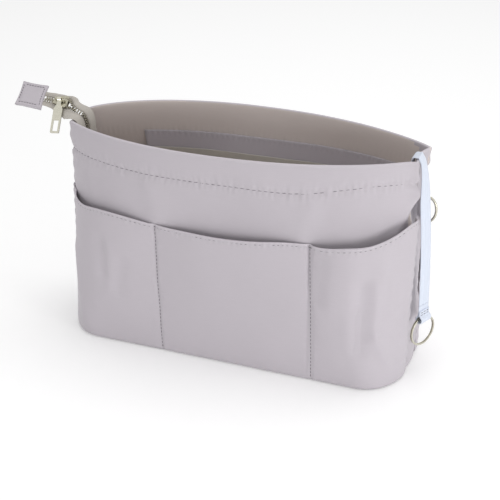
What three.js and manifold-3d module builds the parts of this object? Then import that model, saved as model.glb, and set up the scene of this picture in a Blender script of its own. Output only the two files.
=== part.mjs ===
// Purse organizer insert: a soft standing liner with pockets, an open zip and a key strap.
// Units are millimetres. +X is the key strap's end, -Y the front, +Z up.
// The origin is the centre of the base's underside.
import * as THREE from 'three';
import Module from 'manifold-3d';

const wasm = await Module();
wasm.setup();

// Body sizes
const baseLength = 344;
const rimLength = 340;
const bodyHeight = 216;
const bodyDepth = 129;
const gussetWidth = 38;
const baseCornerRadius = 37;
const rimSway = 9;
const rimSkew = 3;
const gussetCrease = 12;
const gussetBulge = 2;
const wallThickness = 3;
const backRimCrown = 5;
const seamGap = 0.4;

// Base sizes
const baseThickness = 4;
const baseEdgeRadius = 4;
const boardThickness = 3;
const boardClearance = 1;

// Outer pocket sizes
const pocketHeight = 138.5;
const pocketTilt = 3.5;
const pocketEndRise = 14;
const pocketThickness = 1.6;
const leftPocketStand = 8;
const middlePocketStand = 8.5;
const rightPocketStand = 13;
const backPocketStand = 11;

// Inner pocket sizes
const innerPocketHeight = 118;
const innerPocketThickness = 1.2;
const innerPocketStand = 9;

// Zip flap and tape sizes
const collarHeight = 28;
const flapDrop = 24;
const flapThickness = 1.2;
const flapLean = 3;
const tapeWidth = 9;
const tapeTabWidth = 5.2;
const tapeThickness = 0.7;
const tapeLap = 6;
const diveClearance = 2.9;

// Zip teeth sizes
const toothPitch = 4;
const toothLength = 1.7;
const toothHeight = 2.2;
const toothReach = 0.5;
const beadWidth = 1;
const beadGap = 0.2;
const chainHalfWidth = 2.75;
const stopLength = 3;

// Tail sizes: the closed end of the zip that stands out over the left rim
const tailOut = 20;
const tailRise = 8.5;
const tailForward = 7;
const tailRootLength = 24;
const tailTiltAngle = 36 * THREE.MathUtils.DEG2RAD;
const tailRelaxAngle = 32 * THREE.MathUtils.DEG2RAD;
const tailRelaxLength = 17;
const tailRoofAngle = 30 * THREE.MathUtils.DEG2RAD;
const tailDroop = 3;
const tailRiseAngle = 4 * THREE.MathUtils.DEG2RAD;
const forkHalfGap = 1.8;
const forkMouthHalfGap = 2.5;
const forkRootHalfGap = 3;

// End tab sizes
const tabLength = 27;
const tabWidth = 25.5;
const tabLayer = 1.1;
const tabRoom = 0.35;
const tabLap = 12;
const tabGapToSlider = 10.5;

// Slider sizes
const sliderLength = 15;
const sliderRearHalfWidth = 3;
const sliderWaistHalfWidth = 4.8;
const sliderFrontHalfWidth = 5.6;
const sliderFlange = 0.9;
const sliderPlate = 0.9;
const sliderRoom = 0.4;
const sliderSlot = 1.6;
const postLength = 2.6;
const postHalfWidth = 1;
const sliderTravel = 4;

// Bridge and pull sizes
const bridgeWire = 0.8;
const bridgeSpan = 9.5;
const bridgeRise = 2.7;
const pullLength = 35;
const pullWidth = 9.4;
const pullThickness = 1.3;
const pullNeckWidth = 4.2;
const pullNeckLength = 3;
const pullShoulder = 4.6;
const pullCorner = 1.2;
const pullWindowLength = 11;
const pullWindowBorder = 2;
const pullEyeWall = 1;
const pullEyeRoom = 0.5;
const pullRestAngle = 15 * THREE.MathUtils.DEG2RAD;
const pullSkewAngle = 9 * THREE.MathUtils.DEG2RAD;

// Key strap sizes
const strapWidth = 15;
const strapThickness = 1.2;
const strapAcross = 1;
const strapEndAcross = -8;
const strapCrestGap = 2.4;
const strapCrestIn = 2.5;
const strapCrestRest = 2.5;
const strapAnchorLength = 30;
const strapHang = 11.5;
const strapEndHeight = 72;
const strapEndTurn = 24 * THREE.MathUtils.DEG2RAD;
const foldLapHeight = 67;
const foldEyeHeight = 57;
const foldEyeRadius = 3;

// Key ring sizes
const ringRadius = 14.8;
const ringWireWidth = 1.9;
const ringWireHeight = 1.2;
const ringPitch = 1.5;
const ringTurnShare = 1.9;
const ringSeat = 1.2;
const ringTurn = 5 * THREE.MathUtils.DEG2RAD;

// D ring sizes
const deeWire = 1.3;
const deeHeight = 30;
const deeDepth = 14;
const deeCentreHeight = 159;
const deeBarOut = 6;
const deeTabHeight = 17;
const deeTabLayer = 1;
const deeTabRoot = 1.3;
const deeEyeRoom = 0.4;

// Colours
const nylon = { color: 0xbab5ba, roughness: 0.72, metalness: 0 };
const lining = { color: 0xb9afae, roughness: 0.8, metalness: 0 };
const tapeCloth = { color: 0xc9c6be, roughness: 0.85, metalness: 0 };
const webbing = { color: 0xe1e8f8, roughness: 0.8, metalness: 0 };
const board = { color: 0x8f8b8d, roughness: 0.7, metalness: 0 };
const nickel = { color: 0xc9c6b8, roughness: 0.28, metalness: 1 };

const part = new THREE.Group();

// Small helpers for numbers and vectors
function mix(from, to, share) {
  return from + (to - from) * share;
}

function smooth(share) {
  const held = Math.min(1, Math.max(0, share));
  return held * held * (3 - 2 * held);
}

function point(x, y, z) {
  return new THREE.Vector3(x, y, z);
}

// The body's plan changes with height from a rounded box to a lens with creased ends.
const openingPowerShare = 1.5;
const cornerPowerShare = 2;
const lensPowerShare = 2.2;
const cornerRoundShare = 0.5;
const lensRoundShare = 0.85;
const creasePowerShare = 1.3;
const mitreShare = 0.5;
const rimReliefShare = 0.75;
const reliefStartShare = 0.78;

function riseShare(z) {
  return Math.min(1, Math.max(0, z / bodyHeight));
}

function openShare(z) {
  return Math.pow(riseShare(z), openingPowerShare);
}

function halfLength(z) {
  return mix(baseLength, rimLength, openShare(z)) / 2;
}

function sway(z) {
  return rimSway * Math.pow(riseShare(z), openingPowerShare);
}

function seamAcross(z, depth) {
  return gussetWidth / 2 - depth * mitreShare * openShare(z);
}

function pastRelief(z) {
  return Math.max(0, riseShare(z) - reliefStartShare) / (1 - reliefStartShare);
}

// The right end turns a little at the rim, its back corner standing further out.
function skew(z, share) {
  return rimSkew * Math.pow(pastRelief(z) * Math.max(0, share), 2);
}

// A point on the front (side -1) or back (side 1) wall, at a depth in from its outer face.
function wallPoint(side, along, z, depth) {
  const open = openShare(z);
  const reach = halfLength(z) - depth;
  const seam = seamAcross(z, depth);
  const corner = mix(baseCornerRadius, rimLength / 2, open) - depth;
  const x = reach * Math.sin(along * Math.PI / 2);
  const into = Math.min(1, Math.max(0, (Math.abs(x) - (reach - corner)) / corner));
  const power = mix(cornerPowerShare, lensPowerShare, open);
  const round = mix(cornerRoundShare, lensRoundShare, open);
  const crown = bodyDepth / 2 - depth - seam;
  const y = seam + crown * Math.pow(Math.max(0, 1 - Math.pow(into, power)), round);
  return point(x + side * skew(z, x / reach), side * y + sway(z) * x / reach, z);
}

// How far an end panel stands out at its middle, or in where it creases; it comes out again at the rim.
function endFold(z) {
  const relief = rimReliefShare * smooth(pastRelief(z));
  return mix(gussetBulge, -gussetCrease * (1 - relief), openShare(z));
}

// A point on the left (side -1) or right (side 1) end panel, across from -1 to 1.
function endPoint(side, across, z, depth) {
  const fold = endFold(z);
  const x = halfLength(z) - depth + fold * (1 - Math.pow(Math.abs(across), creasePowerShare));
  const y = across * (seamAcross(z, depth) - seamGap) + sway(z) * side;
  return point(side * x + across * skew(z, side), y, z);
}

// One closed body from points and triangles, turned so that its faces point out.
function body(points, triangles) {
  let volume = 0;
  const cross = new THREE.Vector3();
  for (const [a, b, c] of triangles) {
    volume += points[a].dot(cross.crossVectors(points[b], points[c]));
  }
  const turned = volume < 0;
  const geometry = new THREE.BufferGeometry();
  geometry.setAttribute('position', new THREE.Float32BufferAttribute(points.flatMap((p) => p.toArray()), 3));
  geometry.setIndex(triangles.flatMap(([a, b, c]) => (turned ? [a, c, b] : [a, b, c])));
  geometry.computeVertexNormals();
  return geometry;
}

// A panel between two surfaces that share their columns and rows.
function slab(outer, inner, columns, rows) {
  const points = [];
  const triangles = [];
  for (const surface of [outer, inner]) {
    for (const row of rows) {
      for (const column of columns) {
        points.push(surface(column, row));
      }
    }
  }
  const wide = columns.length;
  const high = rows.length;
  const at = (layer, i, j) => (layer * high + j) * wide + i;
  const quad = (a, b, c, d) => triangles.push([a, b, c], [a, c, d]);
  for (let j = 0; j < high - 1; j += 1) {
    for (let i = 0; i < wide - 1; i += 1) {
      quad(at(0, i, j), at(0, i + 1, j), at(0, i + 1, j + 1), at(0, i, j + 1));
      quad(at(1, i, j), at(1, i, j + 1), at(1, i + 1, j + 1), at(1, i + 1, j));
    }
  }
  for (let i = 0; i < wide - 1; i += 1) {
    quad(at(0, i, 0), at(1, i, 0), at(1, i + 1, 0), at(0, i + 1, 0));
    quad(at(0, i, high - 1), at(0, i + 1, high - 1), at(1, i + 1, high - 1), at(1, i, high - 1));
  }
  for (let j = 0; j < high - 1; j += 1) {
    quad(at(0, 0, j), at(0, 0, j + 1), at(1, 0, j + 1), at(1, 0, j));
    quad(at(0, wide - 1, j), at(1, wide - 1, j), at(1, wide - 1, j + 1), at(0, wide - 1, j + 1));
  }
  return body(points, triangles);
}

// A skin through rings of points, capped at both ends or joined into a loop.
function loft(rings, joined) {
  const sides = rings[0].length;
  const points = rings.flat();
  const triangles = [];
  const count = joined ? rings.length : rings.length - 1;
  for (let k = 0; k < count; k += 1) {
    const here = k * sides;
    const next = ((k + 1) % rings.length) * sides;
    for (let i = 0; i < sides; i += 1) {
      const j = (i + 1) % sides;
      triangles.push([here + i, here + j, next + j], [here + i, next + j, next + i]);
    }
  }
  if (!joined) {
    const last = (rings.length - 1) * sides;
    for (let i = 1; i < sides - 1; i += 1) {
      triangles.push([0, i + 1, i], [last, last + i, last + i + 1]);
    }
  }
  return body(points, triangles);
}

// A flat band between two edges given station by station.
function ribbonRings(edges, thickness) {
  const middle = edges.map(([a, b]) => a.clone().add(b).multiplyScalar(1 / 2));
  return edges.map(([a, b], k) => {
    const before = middle[Math.max(0, k - 1)];
    const after = middle[Math.min(edges.length - 1, k + 1)];
    const run = after.clone().sub(before).normalize();
    const width = b.clone().sub(a).normalize();
    const up = run.cross(width).normalize().multiplyScalar(thickness / 2);
    return [a.clone().add(up), b.clone().add(up), b.clone().sub(up), a.clone().sub(up)];
  });
}

// Joins and cuts on closed geometries
function toSolid(geometry) {
  const positions = geometry.getAttribute('position');
  const index = geometry.index ? Array.from(geometry.index.array) : [...Array(positions.count).keys()];
  const seen = new Map();
  const places = [];
  const renamed = [];
  const grain = 1e4;
  for (let k = 0; k < positions.count; k += 1) {
    const place = [positions.getX(k), positions.getY(k), positions.getZ(k)];
    const key = place.map((value) => Math.round(value * grain)).join(' ');
    if (!seen.has(key)) {
      seen.set(key, places.length / 3);
      places.push(...place);
    }
    renamed.push(seen.get(key));
  }
  const triVerts = index.map((k) => renamed[k]);
  const mesh = new wasm.Mesh({
    numProp: 3,
    vertProperties: new Float32Array(places),
    triVerts: new Uint32Array(triVerts),
  });
  return new wasm.Manifold(mesh);
}

function fromSolid(solid) {
  const mesh = solid.getMesh();
  const geometry = new THREE.BufferGeometry();
  geometry.setAttribute('position', new THREE.Float32BufferAttribute(mesh.vertProperties, 3));
  geometry.setIndex(Array.from(mesh.triVerts));
  geometry.computeVertexNormals();
  return geometry;
}

function joinAll(geometries) {
  return fromSolid(geometries.map(toSolid).reduce((sum, next) => sum.add(next)));
}

function addMesh(parent, name, geometry, finish) {
  const mesh = new THREE.Mesh(geometry, new THREE.MeshStandardMaterial(finish));
  mesh.name = name;
  parent.add(mesh);
  return mesh;
}

function evenly(from, to, count) {
  return Array.from({ length: count + 1 }, (unused, k) => mix(from, to, k / count));
}

// Columns are shared by every layer of a long wall, so that the layers stay parallel.
const leftDividerShare = -0.249;
const rightDividerShare = 0.337;
const endColumns = 8;
const middleColumns = 10;
const wallColumns = [
  ...evenly(-1, leftDividerShare, endColumns),
  ...evenly(leftDividerShare, rightDividerShare, middleColumns).slice(1),
  ...evenly(rightDividerShare, 1, endColumns).slice(1),
];
const wallRows = evenly(0, 1, 8);

// Long walls: padded nylon panels from the base to the folded rim
const wallFoot = baseThickness + seamGap;
const crownPowerShare = 0.7;

// The back rim is held up a little between its ends.
function rimHeight(side, along) {
  const wave = Math.sin(Math.PI * Math.pow((1 + along) / 2, crownPowerShare));
  return side < 0 ? bodyHeight : bodyHeight + backRimCrown * wave * wave;
}

function wallSurface(side, depth) {
  return (along, row) => wallPoint(side, along, mix(wallFoot, rimHeight(side, along), row), depth);
}

function longWall(side) {
  return slab(wallSurface(side, 0), wallSurface(side, wallThickness), wallColumns, wallRows);
}

addMesh(part, 'front_wall', longWall(-1), nylon);
addMesh(part, 'back_wall', longWall(1), nylon);

// End panels: narrow gussets that fold inward at the rim
const gussetColumns = evenly(-1, 1, 8);

function endSurface(side, depth) {
  return (across, row) => endPoint(side, across, mix(wallFoot, bodyHeight, row), depth);
}

function endPanel(side) {
  return slab(endSurface(side, 0), endSurface(side, wallThickness), gussetColumns, wallRows);
}

addMesh(part, 'left_end_panel', endPanel(-1), nylon);
addMesh(part, 'right_end_panel', endPanel(1), nylon);

// Base: a soft bottom with a rounded lower edge, and the stiff board that lies in it
function planRing(shapeHeight, depth, z) {
  const across = gussetColumns.slice(1, -1);
  const front = wallColumns.map((along) => wallPoint(-1, along, shapeHeight, depth));
  const right = across.map((share) => endPoint(1, share, shapeHeight, depth));
  const back = wallColumns.map((along) => wallPoint(1, along, shapeHeight, depth)).reverse();
  const left = across.map((share) => endPoint(-1, share, shapeHeight, depth)).reverse();
  return [...front, ...right, ...back, ...left].map((p) => point(p.x, p.y, z));
}

const edgeStepShares = [[0, 1], [0.12, 0.45], [0.45, 0.12], [1, 0]];
const baseRings = edgeStepShares.map(([upShare, inShare]) => (
  planRing(0, baseEdgeRadius * inShare, baseThickness * upShare)));
addMesh(part, 'base_panel', loft(baseRings, false), nylon);

const boardInset = wallThickness + boardClearance;
const boardFoot = baseThickness + seamGap;
const boardTop = boardFoot + boardThickness;
const boardRings = [boardFoot, boardTop].map((z) => planRing(0, boardInset, z));
addMesh(part, 'base_board', loft(boardRings, false), board);

// Outer pockets: one cloth panel on each long wall, sewn down at two dividers
const standPowerShare = 0.7;
const lobePowerShare = 0.8;
const lobeEndShare = 0.95;
const leftLobeStartShare = -0.8;
const rightLobeSkewShare = 0.6;
const pocketRows = evenly(0, 1, 6);

// The front top edge, as places along the wall and shares of the pocket height
const frontTopShares = [
  [-1, 1.076], [-0.86, 1.069], [-0.72, 1.047], [-0.6, 1.037], [-0.5, 1.052], [-0.41, 1.053],
  [-0.33, 1.038], [leftDividerShare, 1.014], [-0.1, 1.013], [0, 1.013], [0.11, 1.022], [0.24, 1.042],
  [rightDividerShare, 1.038], [0.37, 1.041], [0.455, 1.061], [0.546, 1.071], [0.6, 1.09],
  [0.657, 1.116], [0.704, 1.139], [0.745, 1.158], [0.8, 1.177], [0.9, 1.177], [1, 1.17],
];

function lobe(along, from, to) {
  const share = (along - from) / (to - from);
  return share <= 0 || share >= 1 ? 0 : Math.pow(Math.sin(Math.PI * share), lobePowerShare);
}

// A smooth line through the places of a table
function profile(table, along) {
  const last = table.length - 1;
  let k = 1;
  while (k < last && along > table[k][0]) {
    k += 1;
  }
  const slope = (i) => {
    const [before, low] = table[Math.max(0, i - 1)];
    const [after, high] = table[Math.min(last, i + 1)];
    return (high - low) / (after - before);
  };
  const [from, low] = table[k - 1];
  const [to, high] = table[k];
  const span = to - from;
  const t = (along - from) / span;
  const easy = smooth(t);
  const leave = t * (1 - t) * (1 - t) * span * slope(k - 1);
  const arrive = t * t * (1 - t) * span * slope(k);
  return mix(low, high, easy) + leave - arrive;
}

function frontTop(along) {
  return pocketHeight * profile(frontTopShares, along);
}

function backTop(along) {
  const lengthwise = Math.sin(along * Math.PI / 2);
  return pocketHeight + pocketTilt * lengthwise + pocketEndRise * lengthwise * lengthwise;
}

function frontStand(along) {
  const rightShare = Math.max(0, (along - rightDividerShare) / (1 - rightDividerShare));
  return leftPocketStand * lobe(along, leftLobeStartShare, leftDividerShare)
    + middlePocketStand * lobe(along, leftDividerShare, rightDividerShare)
    + rightPocketStand * lobe(Math.pow(rightShare, rightLobeSkewShare), 0, 1);
}

function backStand(along) {
  return backPocketStand * (lobe(along, -lobeEndShare, leftDividerShare)
    + lobe(along, leftDividerShare, rightDividerShare) + lobe(along, rightDividerShare, lobeEndShare));
}

function pocketSurface(side, top, stand, lift) {
  return (along, row) => {
    const z = mix(wallFoot, top(along), row);
    const away = seamGap + lift + stand(along) * Math.pow(row, standPowerShare);
    return wallPoint(side, along, z, -away);
  };
}

function pocketPanel(side, top, stand) {
  const outer = pocketSurface(side, top, stand, pocketThickness);
  const inner = pocketSurface(side, top, stand, 0);
  return slab(outer, inner, wallColumns, pocketRows);
}

addMesh(part, 'front_pocket_panel', pocketPanel(-1, frontTop, frontStand), nylon);
addMesh(part, 'back_pocket_panel', pocketPanel(1, backTop, backStand), nylon);

// Inner pockets: a lining panel on each long wall, sewn down at its middle
const innerFirst = 3;
const innerLast = wallColumns.length - 4;
const innerColumns = wallColumns.slice(innerFirst, innerLast + 1);
const innerDivider = wallColumns[(innerFirst + innerLast) / 2];
const innerRows = evenly(0, 1, 4);
const innerFoot = boardTop + seamGap;

function innerStand(along) {
  return innerPocketStand * (lobe(along, innerColumns[0], innerDivider)
    + lobe(along, innerDivider, innerColumns[innerColumns.length - 1]));
}

function innerSurface(side, lift) {
  return (along, row) => {
    const z = mix(innerFoot, innerPocketHeight, row);
    const depth = wallThickness + seamGap + lift + innerStand(along) * Math.pow(row, standPowerShare);
    return wallPoint(side, along, z, depth);
  };
}

function innerPanel(side) {
  return slab(innerSurface(side, 0), innerSurface(side, innerPocketThickness), innerColumns, innerRows);
}

addMesh(part, 'front_inner_pocket', innerPanel(-1), lining);
addMesh(part, 'back_inner_pocket', innerPanel(1), lining);

// Zip flaps: cloth strips sewn inside the rim, hanging down while the zip is open
const flapFirst = 5;
const flapLast = wallColumns.length - 5;
const flapColumns = wallColumns.slice(flapFirst, flapLast + 1);
const flapTop = bodyHeight - collarHeight;
const flapRows = evenly(0, 1, 2);

function flapDepth(z) {
  return wallThickness + seamGap + flapLean * (flapTop - z) / flapDrop;
}

function flapSurface(side, lift) {
  return (along, row) => {
    const z = flapTop - flapDrop * row;
    return wallPoint(side, along, z, flapDepth(z) + lift);
  };
}

function zipFlap(side) {
  return slab(flapSurface(side, 0), flapSurface(side, flapThickness), flapColumns, flapRows);
}

addMesh(part, 'front_zip_flap', zipFlap(-1), nylon);
addMesh(part, 'back_zip_flap', zipFlap(1), nylon);

// Tail frame: x runs along the closed zip toward the bag, y to the back, z off the tape
const tail = new THREE.Group();
tail.position.set(-(rimLength / 2 + tailOut), -tailForward, bodyHeight + tailRise);
tail.quaternion.setFromAxisAngle(point(0, 1, 0), tailRiseAngle)
  .multiply(new THREE.Quaternion().setFromAxisAngle(point(1, 0, 0), tailTiltAngle));
tail.updateMatrix();
part.add(tail);

const sliderRear = -sliderLength / 2;
const sliderFront = sliderLength / 2;
const postFront = sliderFront - sliderPlate / 2;
const postRear = postFront - postLength;
const forkStart = postRear - sliderTravel - seamGap;

// Half the gap between the two rows of teeth, along the tail
function halfGap(x) {
  if (x <= sliderRear) {
    return 0;
  }
  if (x <= forkStart) {
    return forkHalfGap * smooth((x - sliderRear) / (forkStart - sliderRear));
  }
  if (x <= sliderFront) {
    const spread = smooth((x - forkStart) / (sliderFront - forkStart));
    return mix(forkHalfGap, forkMouthHalfGap, spread);
  }
  return mix(forkMouthHalfGap, forkRootHalfGap, (x - sliderFront) / (tailRootLength - sliderFront));
}

// Past the slider the tapes turn from the tail's tilt to lie level over the rim, and sink onto it.
function tailPoint(x, y, z) {
  const turn = -tailRelaxAngle * smooth((x - sliderFront) / tailRelaxLength);
  const share = Math.max(0, (x - sliderFront) / (tailRootLength - sliderFront));
  const height = y * Math.sin(turn) + z * Math.cos(turn) - tailDroop * share * share;
  return point(x, y * Math.cos(turn) - z * Math.sin(turn), height).applyMatrix4(tail.matrix);
}

// Each tape runs from the end tab, round the fork, down inside the left end and along its flap.
const tabMouth = sliderRear - tabGapToSlider;
const tailTapeEnd = tabMouth - tabLap;
const tailSteps = 20;
const diveSteps = 8;
const overRimShare = 0.2;
const downRimShare = 0.3;
const fallPullShare = 0.35;
const runPullShare = 0.62;
const diveWaistShare = 0.42;
const roofPowerShare = 2.2;

// Across, each tape slopes down from its teeth like a roof, most of all just past the slider.
function tailEdges(side, roofAngle) {
  return evenly(tailTapeEnd, tailRootLength, tailSteps).map((x) => {
    const edge = halfGap(x) + chainHalfWidth;
    const widened = smooth((x - tabMouth) / (tailRootLength - tabMouth));
    const width = mix(tapeTabWidth, tapeWidth, widened);
    const share = Math.max(0, (x - sliderRear) / (tailRootLength - sliderRear));
    const slope = roofAngle * Math.sin(Math.PI * Math.pow(share, roofPowerShare));
    const outer = side * (edge + width * Math.cos(slope));
    return [tailPoint(x, outer, -width * Math.sin(slope)), tailPoint(x, side * edge, 0)];
  });
}

const tapeTop = flapTop - flapDrop + tapeLap;
const tapeFoot = tapeTop - tapeWidth;

function tapeDepth(z) {
  return flapDepth(z) + flapThickness + seamGap + tapeThickness / 2;
}

function runEdges(side) {
  return flapColumns.map((along) => [
    wallPoint(side, along, tapeTop, tapeDepth(tapeTop)),
    wallPoint(side, along, tapeFoot, tapeDepth(tapeFoot)),
  ]);
}

// The dive has two curves: over the rim and straight down, then round to the wall.
function diveEdges(side) {
  const from = tailEdges(side, 0);
  const to = runEdges(side);
  const curves = [0, 1].map((edge) => {
    const start = from[from.length - 1][edge];
    const finish = to[0][edge];
    const drop = start.z - finish.z;
    const waistZ = mix(start.z, finish.z, diveWaistShare);
    const waist = point(endPoint(-1, 0, waistZ, wallThickness).x + diveClearance, start.y, waistZ);
    const leave = start.clone().sub(from[from.length - 2][edge]).normalize();
    const arrive = to[1][edge].clone().sub(finish).normalize();
    const over = start.clone().addScaledVector(leave, drop * overRimShare);
    const above = waist.clone();
    above.z += drop * downRimShare;
    const below = waist.clone();
    below.z -= drop * fallPullShare;
    const before = finish.clone().addScaledVector(arrive, -drop * runPullShare);
    return [
      new THREE.CubicBezierCurve3(start, over, above, waist),
      new THREE.CubicBezierCurve3(waist, below, before, finish),
    ];
  });
  const shares = evenly(0, 1, diveSteps);
  const upper = shares.slice(1).map((share) => curves.map((pair) => pair[0].getPoint(share)));
  const lower = shares.slice(1, -1).map((share) => curves.map((pair) => pair[1].getPoint(share)));
  return [...upper, ...lower];
}

function tapeEdges(side, roofAngle) {
  return [...tailEdges(side, roofAngle), ...diveEdges(side), ...runEdges(side)];
}

function zipTape(side) {
  return loft(ribbonRings(tapeEdges(side, tailRoofAngle), tapeThickness), false);
}

addMesh(part, 'front_zip_tape', zipTape(-1), tapeCloth);
addMesh(part, 'back_zip_tape', zipTape(1), tapeCloth);

// Teeth: each row is a bead along the tape's inner edge with teeth that reach past the middle
function frameAlong(edges) {
  const inner = edges.map(([, b]) => b);
  const lengths = [0];
  for (let k = 1; k < inner.length; k += 1) {
    lengths.push(lengths[k - 1] + inner[k].distanceTo(inner[k - 1]));
  }
  const total = lengths[lengths.length - 1];
  const at = (distance) => {
    let k = lengths.findIndex((length) => length > distance);
    k = k < 1 ? inner.length - 1 : k;
    const share = (distance - lengths[k - 1]) / (lengths[k] - lengths[k - 1]);
    const place = inner[k - 1].clone().lerp(inner[k], share);
    const outer = edges[k - 1][0].clone().lerp(edges[k][0], share);
    const run = inner[k].clone().sub(inner[k - 1]).normalize();
    const inward = place.clone().sub(outer);
    inward.addScaledVector(run, -inward.dot(run)).normalize();
    return { place, run, inward, up: run.clone().cross(inward) };
  };
  return { total, at };
}

function brick(frame, nearIn, farIn, length, height) {
  const rings = [nearIn, farIn].map((reach) => {
    const centre = frame.place.clone().addScaledVector(frame.inward, reach);
    return [[-1, -1], [1, -1], [1, 1], [-1, 1]].map(([i, j]) => (
      centre.clone().addScaledVector(frame.run, i * length / 2).addScaledVector(frame.up, j * height / 2)));
  });
  return loft(rings, false);
}

const teethStart = tabLap + seamGap;

// Cuts a run of stations to begin at a distance along its inner edge
function trimmed(edges, distance) {
  const frame = frameAlong(edges);
  const start = frame.at(distance);
  let length = 0;
  let k = 0;
  while (length <= distance) {
    k += 1;
    length += edges[k][1].distanceTo(edges[k - 1][1]);
  }
  const share = 1 - (length - distance) / edges[k][1].distanceTo(edges[k - 1][1]);
  const outer = edges[k - 1][0].clone().lerp(edges[k][0], share);
  return [[outer, start.place], ...edges.slice(k)];
}

// Each station of the comb has a base and a bead corner, and a tip corner where a tooth starts or ends.
function comb(frame, stations) {
  const reaches = [beadGap, beadGap + beadWidth, chainHalfWidth + toothReach];
  const points = [];
  const triangles = [];
  stations.forEach((distance) => {
    const { place, inward, up } = frame.at(distance);
    reaches.forEach((reach) => [-1, 1].forEach((level) => {
      points.push(place.clone().addScaledVector(inward, reach).addScaledVector(up, level * toothHeight / 2));
    }));
  });
  const at = (k, ring, high) => (k * reaches.length + ring) * 2 + high;
  const quad = (a, b, c, d) => triangles.push([a, b, c], [a, c, d]);
  const strip = (k, ring) => {
    quad(at(k, ring, 1), at(k + 1, ring, 1), at(k + 1, ring + 1, 1), at(k, ring + 1, 1));
    quad(at(k, ring, 0), at(k, ring + 1, 0), at(k + 1, ring + 1, 0), at(k + 1, ring, 0));
  };
  const startFace = (k, ring) => {
    quad(at(k, ring, 0), at(k, ring, 1), at(k, ring + 1, 1), at(k, ring + 1, 0));
  };
  const endFace = (k, ring) => {
    quad(at(k, ring, 0), at(k, ring + 1, 0), at(k, ring + 1, 1), at(k, ring, 1));
  };
  const innerFace = (k, ring) => {
    quad(at(k, ring, 0), at(k, ring, 1), at(k + 1, ring, 1), at(k + 1, ring, 0));
  };
  const last = stations.length - 1;
  for (let k = 0; k < last; k += 1) {
    const tooth = k % 2;
    strip(k, 0);
    quad(at(k, 0, 0), at(k + 1, 0, 0), at(k + 1, 0, 1), at(k, 0, 1));
    innerFace(k, 1 + tooth);
    if (tooth) {
      strip(k, 1);
      startFace(k, 1);
      endFace(k + 1, 1);
    }
  }
  startFace(0, 0);
  endFace(last, 0);
  return body(points, triangles);
}

function teethRow(side) {
  const frame = frameAlong(trimmed(tapeEdges(side, 0), teethStart));
  const first = toothPitch / 2 + (side < 0 ? 0 : toothPitch / 2);
  const stations = [0];
  for (let distance = first; distance < frame.total - stopLength - toothPitch; distance += toothPitch) {
    stations.push(distance - toothLength / 2, distance + toothLength / 2);
  }
  stations.push(frame.total);
  return comb(frame, stations);
}

addMesh(part, 'front_zip_teeth', teethRow(-1), nickel);
addMesh(part, 'back_zip_teeth', teethRow(1), nickel);

// Stops: small crimped blocks at the right-hand end of each row
function zipStop(side) {
  const frame = frameAlong(tapeEdges(side, 0));
  const near = beadGap + beadWidth + seamGap;
  return brick(frame.at(frame.total - stopLength), near, near + chainHalfWidth / 2, stopLength, toothHeight);
}

addMesh(part, 'front_zip_stop', zipStop(-1), nickel);
addMesh(part, 'back_zip_stop', zipStop(1), nickel);

// End tab: a square of cloth folded round the ends of both tapes
const tabInner = tapeThickness / 2 + tabRoom;
const tabOuter = tabInner + tabLayer;
const tabEnd = tabMouth - tabLength;
const tabShape = new THREE.Shape();
tabShape.moveTo(tabMouth, tabInner);
tabShape.lineTo(tabMouth, tabOuter);
tabShape.lineTo(tabEnd + tabOuter, tabOuter);
tabShape.absarc(tabEnd + tabOuter, 0, tabOuter, Math.PI / 2, Math.PI * 3 / 2, false);
tabShape.lineTo(tabMouth, -tabOuter);
tabShape.lineTo(tabMouth, -tabInner);
tabShape.lineTo(tabMouth - tabLap - seamGap, -tabInner);
tabShape.lineTo(tabMouth - tabLap - seamGap, tabInner);
tabShape.closePath();
const tabSettings = { depth: tabWidth, bevelEnabled: false, curveSegments: 5 };
const tabGeometry = new THREE.ExtrudeGeometry(tabShape, tabSettings);
tabGeometry.rotateX(Math.PI / 2);
tabGeometry.translate(0, tabWidth / 2, 0);
addMesh(tail, 'zip_end_tab', fromSolid(toSolid(tabGeometry)), nylon);

// Slider: two shaped plates with side flanges, joined by the post that parts the teeth
const slider = new THREE.Group();
tail.add(slider);
const channelHalf = toothHeight / 2 + sliderRoom;
const plateTop = channelHalf + sliderPlate;
const sliderBack = 2;

function sliderOutline(margin) {
  const rear = sliderRearHalfWidth + margin;
  const waist = sliderWaistHalfWidth + margin;
  const front = sliderFrontHalfWidth + margin;
  const shape = new THREE.Shape();
  shape.moveTo(sliderRear, -rear);
  shape.quadraticCurveTo(sliderRear / 2, -rear, 0, -waist);
  shape.quadraticCurveTo(sliderFront / 2, -front, sliderFront - sliderBack, -front);
  shape.quadraticCurveTo(sliderFront, -front, sliderFront, -front + sliderBack);
  shape.lineTo(sliderFront, front - sliderBack);
  shape.quadraticCurveTo(sliderFront, front, sliderFront - sliderBack, front);
  shape.quadraticCurveTo(sliderFront / 2, front, 0, waist);
  shape.quadraticCurveTo(sliderRear / 2, rear, sliderRear, rear);
  shape.closePath();
  return shape;
}

// The channel that the two rows of teeth run through, open at both ends
function channelOutline() {
  const shape = new THREE.Shape();
  const past = sliderBack;
  shape.moveTo(sliderRear - past, -sliderRearHalfWidth);
  shape.lineTo(sliderRear, -sliderRearHalfWidth);
  shape.lineTo(0, -sliderWaistHalfWidth);
  shape.lineTo(sliderFront + past, -sliderFrontHalfWidth - sliderBack);
  shape.lineTo(sliderFront + past, sliderFrontHalfWidth + sliderBack);
  shape.lineTo(0, sliderWaistHalfWidth);
  shape.lineTo(sliderRear, sliderRearHalfWidth);
  shape.lineTo(sliderRear - past, sliderRearHalfWidth);
  shape.closePath();
  return shape;
}

function layer(shape, from, to) {
  const settings = { depth: to - from, bevelEnabled: false, curveSegments: 4 };
  const geometry = new THREE.ExtrudeGeometry(shape, settings);
  geometry.translate(0, 0, from);
  return geometry;
}

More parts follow.
